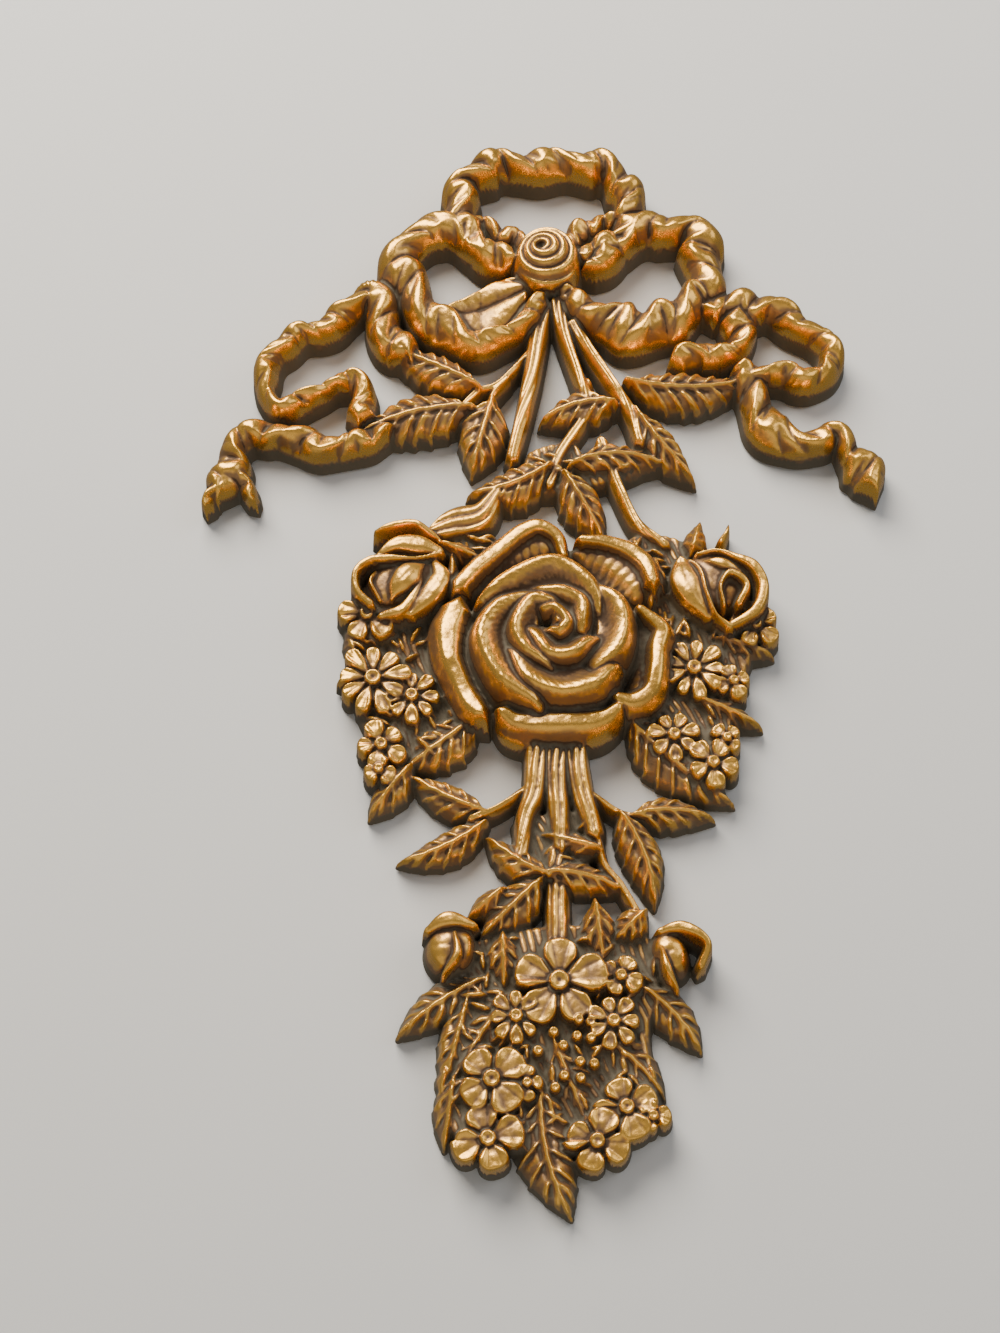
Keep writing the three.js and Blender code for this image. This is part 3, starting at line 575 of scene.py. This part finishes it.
def rose():
    """The open rose: a domed heart, then the wound petals. From its outer rim each petal rolls
    over within a few millimetres and slopes in towards the next as a hollow."""
    where, x, z = relief.patch([[ROSE_X, ROSE_Z]], 46)
    r = np.hypot(x - ROSE_X, z - ROSE_Z)
    heart = ROSE_RISE - 15 - 3 * (r / ROSE_RADIUS) ** 2
    relief.lay(where, shoulder(ROSE_RADIUS - 1 - r, heart, 5.0), "rose")
    for rim, reach, lift in ROSE_PETALS:
        line, run = centre_line(rim)
        s, aside, _, past = along_line(line, run, x, z)
        ends = np.clip(np.minimum(s, run[-1] - s) / (0.3 * run[-1]), 0, 1)
        full = np.sqrt(1 - (1 - ends) ** 2)
        roll = 1.2 + 2.3 * full
        out = aside + roll
        slope_in = 3.5 * (1 - np.cos(np.pi * np.clip(-out / reach, 0, 1)))
        beyond = 2.5 * np.clip(-out - reach, 0, None)
        over = 8 * (np.clip(out, 0, None) / (roll + 1.2)) ** 2
        top = ROSE_RISE + lift - 5.5 * (1 - full) - 1.2 * past**1.5
        face = top - slope_in - beyond - over
        wavy = 0.08 * np.sin(1.3 * s + 2 * aside)
        relief.lay(where, np.maximum(face + wavy, -OUTSIDE), "rose", 0.7)
    x, z = x - ROSE_EYE[0], z - ROSE_EYE[1]
    r, a = np.hypot(x, z), np.arctan2(z, x)
    curl = 1.5 * np.cos(a + 2.0 * r)
    relief.lay(where, shoulder(5.5 - r, ROSE_RISE - 2.5 + curl, 2.5), "rose", 0.6)


def patch_round(x_place, z_place, reach):
    """The patch round a drawn place, with X and Z counted from there."""
    x_place, z_place = x_place * SHARE, z_place * SHARE
    where, x, z = relief.patch([[x_place, z_place]], reach)
    return where, x - x_place, z - z_place


def bud(row):
    """A closed rosebud: a rounded body with fine grooves that run from its stem to its mouth."""
    bx, bz, radius_x, radius_z, turn, part = row
    where, x, z = patch_round(bx, bz, max(radius_x, radius_z) + 6)
    a = math.radians(turn)
    u = (x * math.cos(a) + z * math.sin(a)) / radius_x
    v = (-x * math.sin(a) + z * math.cos(a)) / radius_z
    r = np.hypot(u, v)
    lines = 0.5 * np.abs(np.sin(7 * v + 2 * u * v)) ** 0.6
    face = BUD_RISE * part - 4 - 0.3 * BUD_RISE * part * np.clip(r, 0, 1.2) ** 2.4 + lines
    relief.lay(where, shoulder((1 - r) * min(radius_x, radius_z), face, 5.0), "bud")


def bud_band(path, rise, end_drop):
    """A petal's rolled edge or a sepal over a bud: a rounded band, lower at its ends."""
    where, length, s, aside, half, past = band(path, 10)
    q = aside / half
    ends = 2 * s / length - 1
    strands = 0.3 * np.abs(np.sin(4.5 * q)) ** 0.7
    face = rise - 2.6 * q * q - end_drop * ends**2 + strands
    relief.lay(where, shoulder(half + 0.4 - np.abs(aside) - past, face, 2.2), "bud", 0.5)


def flower(row):
    """A small flower: n petals with the edge R (1 - 0.42 |2b|^3.4), where b runs from -0.5 to
    0.5 across a petal, each ribbed or cupped, with a ringed button in the middle."""
    fx, fz, count, radius, turn, cupped = row
    where, x, z = patch_round(fx, fz, radius + 4)
    r = np.hypot(x, z)
    a = np.arctan2(z, x) - math.radians(turn)
    turns = a * count / (2 * np.pi) + 0.5
    b = turns % 1 - 0.5
    which = np.floor(turns)
    reach = radius * (1.06 + 0.08 * np.sin(2.4 * which + fx))
    edge = reach * (1 - 0.42 * np.abs(2 * b) ** 3.4)
    out = np.clip(r / reach, 0, 1.1)
    parting = 3.0 * np.exp(-((0.5 - np.abs(b)) * 2 * np.pi / count * r / 0.7) ** 2)
    ribs = 1.2 * np.abs(np.sin(3 * np.pi * (b + 0.5))) ** 0.7 * out - 0.8
    cup = -2.6 * np.exp(-(((out - 0.66) * 3.2) ** 2 + (b * 3.2) ** 2))
    lie = 0.9 * np.sin(1.9 * which + fz)
    petals = FLOWER_RISE - 0.6 + lie - parting + (1.0 if cupped else 0.6) * cup + ribs - 1.6 * out**4
    hollow = 3.5 * (1 - np.clip(r / (0.62 * radius), 0, 1)) ** 1.3
    relief.lay(where, shoulder(edge - r, petals - hollow, 1.4), "flower", 0.4)
    button = 1.4 + 0.19 * radius
    ring = FLOWER_RISE + 0.2 - 1.6 * np.exp(-(r / (0.42 * button)) ** 2)
    relief.lay(where, shoulder(button - r, ring, 1.1), "flower", 0.2)


def bead(place):
    """A ring-shaped floret: a small dome with a dimple."""
    where, x, z = patch_round(*place, 6)
    r = np.hypot(x, z)
    face = FLOWER_RISE - 1.5 - 2.0 * np.exp(-(r / 1.1) ** 2)
    relief.lay(where, shoulder(3.1 - r, face, 1.4), "flower", 0.3)


def cells_to_triangles(height, keep):
    """Two triangles for each kept cell of the grid, split along the diagonal whose ends are
    nearer in height, as rows of three grid indices."""
    rows, columns = height.shape
    index = np.arange(rows * columns).reshape(rows, columns)
    a, b = index[:-1, :-1][keep], index[:-1, 1:][keep]
    c, d = index[1:, 1:][keep], index[1:, :-1][keep]
    flat = height.ravel()
    first = np.abs(flat[a] - flat[c]) <= np.abs(flat[b] - flat[d])
    one = np.where(first[:, None], np.stack([a, b, c], 1), np.stack([a, b, d], 1))
    two = np.where(first[:, None], np.stack([a, c, d], 1), np.stack([b, c, d], 1))
    return np.vstack([one, two])


def clipped(triangles, flat):
    """Triangles cut where the height passes through nought. New points lie on grid edges and
    are returned as pairs of grid indices; triangles index the grid, then the new points."""
    inside = flat[triangles] > 0
    count = inside.sum(1)
    size = len(flat)

    def turned(chosen, odd):
        """The chosen triangles, each turned so that its odd corner comes first."""
        order = (odd[chosen].argmax(1)[:, None] + np.arange(3)) % 3
        return np.take_along_axis(triangles[chosen], order, axis=1).T

    def crossing(a, b):
        """A negative key for the new point on the grid edge between a and b."""
        return -1 - (np.minimum(a, b) * size + np.maximum(a, b))

    a, b, c = turned(count == 1, inside)
    d, e, f = turned(count == 2, ~inside)
    cut = np.vstack([
        np.stack([a, crossing(a, b), crossing(a, c)], 1),
        np.stack([e, f, crossing(d, e)], 1),
        np.stack([f, crossing(d, f), crossing(d, e)], 1)])
    keys, place = np.unique(-1 - cut[cut < 0], return_inverse=True)
    cut[cut < 0] = size + place
    return np.vstack([triangles[count == 3], cut]), np.stack([keys // size, keys % size], 1)


def relief_mesh(name, height, keep, fields):
    """A closed mesh of part of the relief: the carved front, a wall where the part meets its
    neighbour, and the flat back. Fields are stored as float attributes."""
    flat = height.ravel()
    triangles, cuts = clipped(cells_to_triangles(height, keep), flat)
    used, faces = np.unique(triangles, return_inverse=True)
    faces = faces.reshape(-1, 3)
    size = len(flat)
    whole = used[used < size]
    ends = cuts[used[used >= size] - size]
    share = flat[ends[:, 0]] / (flat[ends[:, 0]] - flat[ends[:, 1]])

    def taken(grid):
        """A grid's values at the kept points, then at the points cut on its edges."""
        values = grid.ravel()
        return np.concatenate([values[whole], values[ends[:, 0]] * (1 - share) + values[ends[:, 1]] * share])

    plan = np.stack([taken(grid) for grid in np.meshgrid(relief.x, relief.z)], 1)
    rise = np.concatenate([flat[whole], np.zeros(len(ends))])
    edges = np.stack([faces, np.roll(faces, -1, 1)], 2).reshape(-1, 2)
    _, first, repeats = np.unique(np.sort(edges, axis=1), axis=0, return_index=True, return_counts=True)
    rim = edges[first[repeats == 1]]
    high = np.unique(rim[rise[rim] > 0])
    below = np.arange(len(rise))
    below[high] = len(rise) + np.arange(len(high))
    walls = np.vstack([
        np.stack([rim[:, 1], rim[:, 0], below[rim[:, 0]]], 1),
        np.stack([rim[:, 1], below[rim[:, 0]], below[rim[:, 1]]], 1)])
    ordered = np.sort(walls, axis=1)
    walls = walls[(ordered[:, 0] != ordered[:, 1]) & (ordered[:, 1] != ordered[:, 2])]
    plan = np.vstack([plan, plan[high]])
    rise = np.concatenate([rise, np.zeros(len(high))])
    points = np.stack([plan[:, 0], -rise, plan[:, 1]], 1) * MM
    mesh = bpy.data.meshes.new(name)
    mesh.from_pydata(points.tolist(), [], np.vstack([faces, walls]).tolist())
    for key, field in fields.items():
        values = np.concatenate([taken(field), np.full(len(high), BACK_FINISH[key])])
        mesh.attributes.new(key, "FLOAT", "POINT").data.foreach_set("value", values.astype(np.float32))
    close_back(mesh)
    return mesh


def close_back(mesh):
    """Fills the outline on the back with flat triangles, turns every face outwards and keeps the
    edges of the upright walls sharp."""
    shape = bmesh.new()
    shape.from_mesh(mesh)
    rim = [edge for edge in shape.edges if edge.is_boundary]
    bmesh.ops.triangle_fill(shape, edges=rim, use_beauty=True, normal=(0, 1, 0))
    for face in shape.faces:
        face.smooth = abs(face.normal.y) < BACK_NORMAL or face.calc_center_median().y < -BACK_SKIN
    shape.normal_update()
    for face in shape.faces:
        if not face.smooth and face.normal.y < 0:
            face.normal_flip()
    for edge in shape.edges:
        upright = [abs(face.normal.y) < WALL_NORMAL for face in edge.link_faces]
        edge.smooth = all(upright) or not any(upright)
    shape.to_mesh(mesh)
    shape.free()


class Socket:
    """A shader socket that adds Math nodes when it is used in an expression."""

    def __init__(self, nodes, socket):
        self.nodes, self.socket = nodes, socket

    def _math(self, operation, *values):
        return self.nodes.make("ShaderNodeMath", {"operation": operation}, *values)

    def __add__(self, other):
        return self._math("ADD", self, other)

    def __radd__(self, other):
        return self._math("ADD", other, self)

    def __sub__(self, other):
        return self._math("SUBTRACT", self, other)

    def __rsub__(self, other):
        return self._math("SUBTRACT", other, self)

    def __mul__(self, other):
        return self._math("MULTIPLY", self, other)

    def clamp(self):
        return self.nodes.make("ShaderNodeMath", {"operation": "ADD", "use_clamp": True}, self, 0.0)


class Nodes:
    """A material's node tree, with one method that makes every node."""

    def __init__(self, name):
        self.material = bpy.data.materials.new(name)
        self.material.use_nodes = True
        self.tree = self.material.node_tree
        self.tree.nodes.clear()

    def make(self, kind, settings_of_node=None, *values, output=0, **named):
        """Adds a node of a kind, with its settings, then the values or links of its inputs."""
        node = self.tree.nodes.new(kind)
        for key, value in (settings_of_node or {}).items():
            setattr(node, key, value)
        for key, value in [*enumerate(values), *named.items()]:
            target = node.inputs[key.replace("_", " ") if isinstance(key, str) else key]
            if isinstance(value, Socket):
                self.tree.links.new(value.socket, target)
            elif value is not None:
                target.default_value = value
        return Socket(self, node.outputs[output]) if node.outputs else None

    def finish(self, surface):
        self.make("ShaderNodeOutputMaterial", None, surface)
        return self.material


def ramp(nodes, value, low, high):
    """A smooth step of a value from 0 at low to 1 at high."""
    return nodes.make("ShaderNodeMapRange", {"interpolation_type": "SMOOTHSTEP"}, value, low, high, 0.0, 1.0)


def mix(nodes, share, a, b):
    """A colour mixed from a to b; the node's share and colours are inputs 0, 6 and 7."""
    node = nodes.tree.nodes.new("ShaderNodeMix")
    node.data_type = "RGBA"
    for index, value in ((0, share), (6, a), (7, b)):
        if isinstance(value, Socket):
            nodes.tree.links.new(value.socket, node.inputs[index])
        else:
            node.inputs[index].default_value = value if index == 0 else (*value, 1.0)
    return Socket(nodes, node.outputs[2])


def gilt_material(group):
    """Burnished antique gold over a red-brown ground, with patina and dust in the recesses. The dark brown of
    the hollows is partly painted shade, and the lighter gold on the proud parts is partly a painted
    highlight.
    """
    n = Nodes("antique_gilt")
    place = n.make("ShaderNodeTexCoord", output="Object")
    recess, wall, bright, dull = (
        n.make("ShaderNodeAttribute", {"attribute_name": name}, output="Fac") for name in BACK_FINISH)
    broad, mottle, grain = (
        n.make("ShaderNodeTexNoise", None, place, None, scale, detail, 0.6)
        for scale, detail in ((28.0, 4.0), (150.0, 6.0), (800.0, 3.0)))
    # Painted highlight: proud parts found by the bright field turn lighter gold and the parts between them
    # darker bronze, partly wear of the gilding and partly painted highlight and shade
    wear_and_highlight = ramp(n, bright + (mottle - 0.5) * 0.9 + (broad - 0.5) * 0.7 - dull * 0.22, 0.2, 0.8)
    # Painted shade: the hollows found by the recess field turn dark brown, partly the casting's own patina
    # and partly shade painted into the colour
    dirt_and_shade = ramp(n, recess + (mottle - 0.5) * 0.6 + (grain - 0.5) * 0.3 + dull * 0.1, 0.14, 0.55)
    dust = ramp(n, wall * 0.6 + recess * 0.7 + dull * 0.3 + (mottle - 0.5) * 0.8 + (broad - 0.5) * 0.6,
                0.58, 1.0)
    gold = mix(n, wear_and_highlight, tuple(group.bronze), tuple(group.gold))
    tinted = mix(n, ramp(n, broad, 0.5, 0.75) * 0.3, gold, tuple(group.copper))
    brown = mix(n, dirt_and_shade, tinted, tuple(group.patina_and_shade))
    colour = mix(n, dust * 0.85, brown, tuple(group.dust))
    covered = (dirt_and_shade * 0.85 + dust * 0.9 + dull * 0.15).clamp()
    metallic = (1.0 - covered) * (wear_and_highlight * 0.2 + 0.72)
    rough = 0.27 + covered * 0.4 + (1.0 - wear_and_highlight) * 0.13 + (grain - 0.5) * 0.2 + (mottle - 0.5) * 0.12
    bump = n.make("ShaderNodeBump", None, 0.35, 0.0006, Height=mottle * 0.6 + grain * 0.4)
    surface = n.make("ShaderNodeBsdfPrincipled", None, Base_Color=colour, Metallic=metallic,
                     Roughness=rough, Normal=bump)
    return n.finish(surface)


def plaster_material(name, colour):
    """A pale matt surface with a faint mottle."""
    n = Nodes(name)
    place = n.make("ShaderNodeTexCoord", output="Object")
    mottle = n.make("ShaderNodeTexNoise", None, place, None, 6.0, 4.0, 0.5)
    shade = mix(n, mottle, tuple(0.96 * value for value in colour), colour)
    surface = n.make("ShaderNodeBsdfPrincipled", None, Base_Color=shade, Roughness=0.85)
    return n, surface


class WallDropSettings(bpy.types.PropertyGroup):
    """Sizes and colours of the wall drop."""

    cell: bpy.props.FloatProperty(
        name="Cell", description="Spacing of the carved relief's grid", default=0.00056, unit="LENGTH",
        precision=5)
    fold_depth: bpy.props.FloatProperty(
        name="Fold depth", description="Depth of the creases between the ribbon's folds",
        default=0.0070, unit="LENGTH", precision=5)
    vein_depth: bpy.props.FloatProperty(
        name="Vein depth", description="Depth of the hollows between the veins of the leaves", default=0.0015,
        unit="LENGTH", precision=5)
    # Gold and bronze are laid by the bright field: the lighter gold on proud parts is partly wear and partly
    # a painted highlight, the darker bronze between them partly painted shade
    gold: bpy.props.FloatVectorProperty(
        name="Gold", description="Burnished gold on the high parts", subtype="COLOR",
        default=(1.0, 0.54, 0.10))
    bronze: bpy.props.FloatVectorProperty(
        name="Bronze", description="Darker gilding between the high parts", subtype="COLOR",
        default=(0.33, 0.19, 0.09))
    copper: bpy.props.FloatVectorProperty(
        name="Copper", description="Brown tint where the gilding is thin", subtype="COLOR",
        default=(0.33, 0.18, 0.09))
    # Dark brown of the hollows: partly the casting's patina, partly painted shade
    patina_and_shade: bpy.props.FloatVectorProperty(
        name="Patina", description="Dark brown left in the recesses", subtype="COLOR",
        default=(0.07, 0.036, 0.016))
    dust: bpy.props.FloatVectorProperty(
        name="Dust", description="Olive-grey dust on the side walls", subtype="COLOR",
        default=(0.15, 0.13, 0.09))


class WALLDROP_OT_stage(bpy.types.Operator):
    """Make the wall, the floor, the lights and the camera"""

    bl_idname = "walldrop.stage"
    bl_label = "Stage"

    def execute(self, context):
        n, surface = plaster_material("pale_wall", WALL_COLOUR)
        behind = n.make("ShaderNodeNewGeometry", output="Backfacing")
        clear = n.make("ShaderNodeBsdfTransparent")
        wall_material = n.finish(n.make("ShaderNodeMixShader", None, behind, surface, clear))
        n, surface = plaster_material("pale_floor", FLOOR_COLOUR)
        wall = plane("wall", (WALL_Y, FLOOR_Z), (WALL_Y, WALL_TOP), wall_material)
        floor = plane("floor", (FLOOR_FRONT, FLOOR_Z), (WALL_Y, FLOOR_Z), n.finish(surface))
        wall.visible_shadow = wall.visible_diffuse = wall.visible_glossy = False
        for row in LAMPS:
            lamp(*row)
        world = bpy.data.worlds.new("room_light")
        world.use_nodes = True
        sky = world.node_tree.nodes["Background"]
        sky.inputs["Color"].default_value = SKY_COLOUR
        sky.inputs["Strength"].default_value = SKY_STRENGTH
        context.scene.world = world
        make_camera(context)
        return {"FINISHED"}


def make_camera(context):
    data = bpy.data.cameras.new("photo_view")
    data.lens = CAMERA_LENS
    data.sensor_width = CAMERA_SENSOR
    data.clip_start = 0.01
    camera = bpy.data.objects.new("photo_view", data)
    forward = Vector((0, math.cos(CAMERA_TILT), math.sin(CAMERA_TILT)))
    level_up = Vector((0, -math.sin(CAMERA_TILT), math.cos(CAMERA_TILT)))
    level_right = Vector((1, 0, 0))
    right = math.cos(CAMERA_ROLL) * level_right - math.sin(CAMERA_ROLL) * level_up
    up = math.sin(CAMERA_ROLL) * level_right + math.cos(CAMERA_ROLL) * level_up
    turn = Matrix((right, up, -forward)).transposed().to_4x4()
    camera.matrix_world = Matrix.Translation(CAMERA_PLACE) @ turn
    context.scene.collection.objects.link(camera)
    context.scene.camera = camera


def plane(name, near, far, material):
    """A sheet across the room between two levels, each given as y and z."""
    corners = [(-ROOM_SIDE, *near), (ROOM_SIDE, *near), (ROOM_SIDE, *far), (-ROOM_SIDE, *far)]
    mesh = bpy.data.meshes.new(name)
    mesh.from_pydata(corners, [], [(0, 1, 2, 3)])
    mesh.materials.append(material)
    thing = bpy.data.objects.new(name, mesh)
    bpy.context.scene.collection.objects.link(thing)
    return thing


def lamp(name, place, size, power, colour):
    data = bpy.data.lights.new(name, "AREA")
    data.shape = "DISK"
    data.size, data.energy, data.color = size, power, colour
    light = bpy.data.objects.new(name, data)
    aim = Vector(LAMP_TARGET) - Vector(place)
    light.matrix_world = Matrix.Translation(place) @ aim.to_track_quat("-Z", "Y").to_matrix().to_4x4()
    bpy.context.scene.collection.objects.link(light)


class WALLDROP_OT_grounds(bpy.types.Operator):
    """Carve the low leafy grounds that join the bouquets"""

    bl_idname = "walldrop.grounds"
    bl_label = "Grounds"

    def execute(self, context):
        global relief
        step = settings().cell / MM * 1
        relief = Relief(GRID_LOW, GRID_HIGH, step)
        for seed, outline in enumerate(GROUNDS):
            ground(outline, seed)
        return {"FINISHED"}


class WALLDROP_OT_ribbons(bpy.types.Operator):
    """Carve the gathered ribbon's loops and tails and the wrapped knot"""

    bl_idname = "walldrop.ribbons"
    bl_label = "Ribbons and knot"

    def execute(self, context):
        pocket()
        for row in (*INNER_FOLDS, *RIBBONS):
            ribbon(*row)
        knot()
        return {"FINISHED"}


class WALLDROP_OT_stems(bpy.types.Operator):
    """Carve the stems and twigs"""

    bl_idname = "walldrop.stems"
    bl_label = "Stems"

    def execute(self, context):
        for path, rise in STEMS:
            stem(path, rise)
        return {"FINISHED"}


class WALLDROP_OT_leaves(bpy.types.Operator):
    """Carve the toothed and veined leaves"""

    bl_idname = "walldrop.leaves"
    bl_label = "Leaves"

    def execute(self, context):
        groups = ((BOW_LEAVES, LEAF_RISE), (SIDE_LEAVES, SIDE_LEAF_RISE), (LOW_LEAVES, LEAF_RISE),
                  (TIP_LEAVES, TIP_LEAF_RISE), (BUD_LEAVES, BUD_RISE - 5))
        for rows, rise in groups:
            for seed, row in enumerate(rows):
                leaf(row, rise, seed)
        return {"FINISHED"}


class WALLDROP_OT_rose(bpy.types.Operator):
    """Carve the open rose and its rolled outer petals"""

    bl_idname = "walldrop.rose"
    bl_label = "Rose"

    def execute(self, context):
        for seed, (outline, rim) in enumerate(OUTER_PETALS):
            outer_petal(outline, rim, seed)
        rose()
        return {"FINISHED"}


class WALLDROP_OT_flowers(bpy.types.Operator):
    """Carve the rosebuds, the small flowers and the beads"""

    bl_idname = "walldrop.flowers"
    bl_label = "Buds and flowers"

    def execute(self, context):
        for row in BUDS:
            bud(row)
        for path, lift, end_drop in BUD_BANDS:
            bud_band(path, BUD_RISE + lift, end_drop)
        for row in FLOWERS:
            flower(row)
        for place in BEADS:
            bead(place)
        return {"FINISHED"}


class WALLDROP_OT_casting(bpy.types.Operator):
    """Turn the carved relief into closed gilded pieces that ride on the casting"""

    bl_idname = "walldrop.casting"
    bl_label = "Casting"

    def execute(self, context):
        height = finished_height()
        fields = finish_fields(height)
        x, z = np.meshgrid((relief.x[:-1] + relief.x[1:]) / 2, (relief.z[:-1] + relief.z[1:]) / 2)
        upper = z > LOW_CUT
        left, right = upper & (x < LEFT_CUT), upper & (x > RIGHT_CUT)
        pieces = {"bow": upper & ~left & ~right, "left_tail": left, "right_tail": right,
                  "rose_and_bouquets": ~upper & (z > TIP_CUT), "lower_bouquet": z <= TIP_CUT}
        material = gilt_material(settings())
        for name, keep in pieces.items():
            mesh = relief_mesh(name, height, keep, fields)
            mesh.materials.append(material)
            piece = bpy.data.objects.new(name, mesh)
            context.scene.collection.objects.link(piece)
            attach(piece, "root")
            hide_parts(CASTING)
        return {"FINISHED"}


def finished_height():
    """The relief with the softness and the slight dents of a cast surface."""
    height = relief.height
    noise = np.random.default_rng(11).standard_normal(height.shape)
    soft = blurred(height, CAST_BLUR / relief.step)
    uneven = soft
    for (depth, width), pattern in ((DENTS, noise[:, ::-1]), (ROUGHNESS, noise), (GRAIN, noise[::-1])):
        dents = blurred(pattern, width / relief.step)
        uneven = uneven + depth * (dents / dents.std())
    height = np.where(height > DENTED_RISE, uneven, soft)
    return np.where(np.abs(height) < THINNEST, -THINNEST, height)


def finish_fields(height):
    """Where the finish and the painted light change: recess is how far a point lies below the blurred
    surface, wall how steep and low it is, and bright how far it stands proud."""
    cell = relief.step
    solid = np.maximum(height, 0)
    near = blurred(solid, 1.2 / cell) - solid
    wide = blurred(solid, 3.5 / cell) - solid
    slope = np.hypot(*np.gradient(solid, cell))
    steep = blurred(np.clip((slope - 0.5) / 1.5, 0, 1), 0.7 / cell)
    low = np.clip((GROUND_RISE + 3 - solid) / 6.0, 0, 1)
    # Painted shade: recess darkens the hollows, partly as patina and partly as painted shade
    recess = np.clip(0.12 + 0.8 * near + 0.16 * wide, 0, 1)
    wall = np.clip(steep * (0.3 + 0.6 * low) + 0.35 * low, 0, 1)
    # Painted highlight: bright lightens the proud parts, partly as wear and partly as a painted highlight
    bright = np.clip(0.56 - 0.8 * near - 0.1 * wide - 0.85 * steep, 0, 1)
    return {"recess": recess, "wall": wall, "bright": bright, "dull": blurred(relief.dull, 1.0 / cell)}


class WALLDROP_PT_panel(bpy.types.Panel):
    """Wall drop tools in the sidebar"""

    bl_idname = "WALLDROP_PT_panel"
    bl_label = "Wall Drop"
    bl_space_type = "VIEW_3D"
    bl_region_type = "UI"
    bl_category = "Wall Drop"

    def draw(self, context):
        for key in WallDropSettings.__annotations__:
            self.layout.prop(context.scene.wall_drop, key)
        for operator in OPERATORS:
            self.layout.operator(operator.bl_idname)


OPERATORS = (
    WALLDROP_OT_stage, WALLDROP_OT_grounds, WALLDROP_OT_ribbons, WALLDROP_OT_stems, WALLDROP_OT_leaves,
    WALLDROP_OT_rose, WALLDROP_OT_flowers, WALLDROP_OT_casting)


def register():
    for item in (WallDropSettings, *OPERATORS, WALLDROP_PT_panel):
        bpy.utils.register_class(item)
    bpy.types.Scene.wall_drop = bpy.props.PointerProperty(type=WallDropSettings)


def unregister():
    del bpy.types.Scene.wall_drop
    for item in (WALLDROP_PT_panel, *reversed(OPERATORS), WallDropSettings):
        bpy.utils.unregister_class(item)


def main():
    register()
    bpy.ops.walldrop.stage()
    bpy.ops.walldrop.grounds()
    bpy.ops.walldrop.stems()
    bpy.ops.walldrop.ribbons()
    bpy.ops.walldrop.leaves()
    bpy.ops.walldrop.rose()
    bpy.ops.walldrop.flowers()
    bpy.ops.walldrop.casting()


if __name__ == "__main__":
    main()
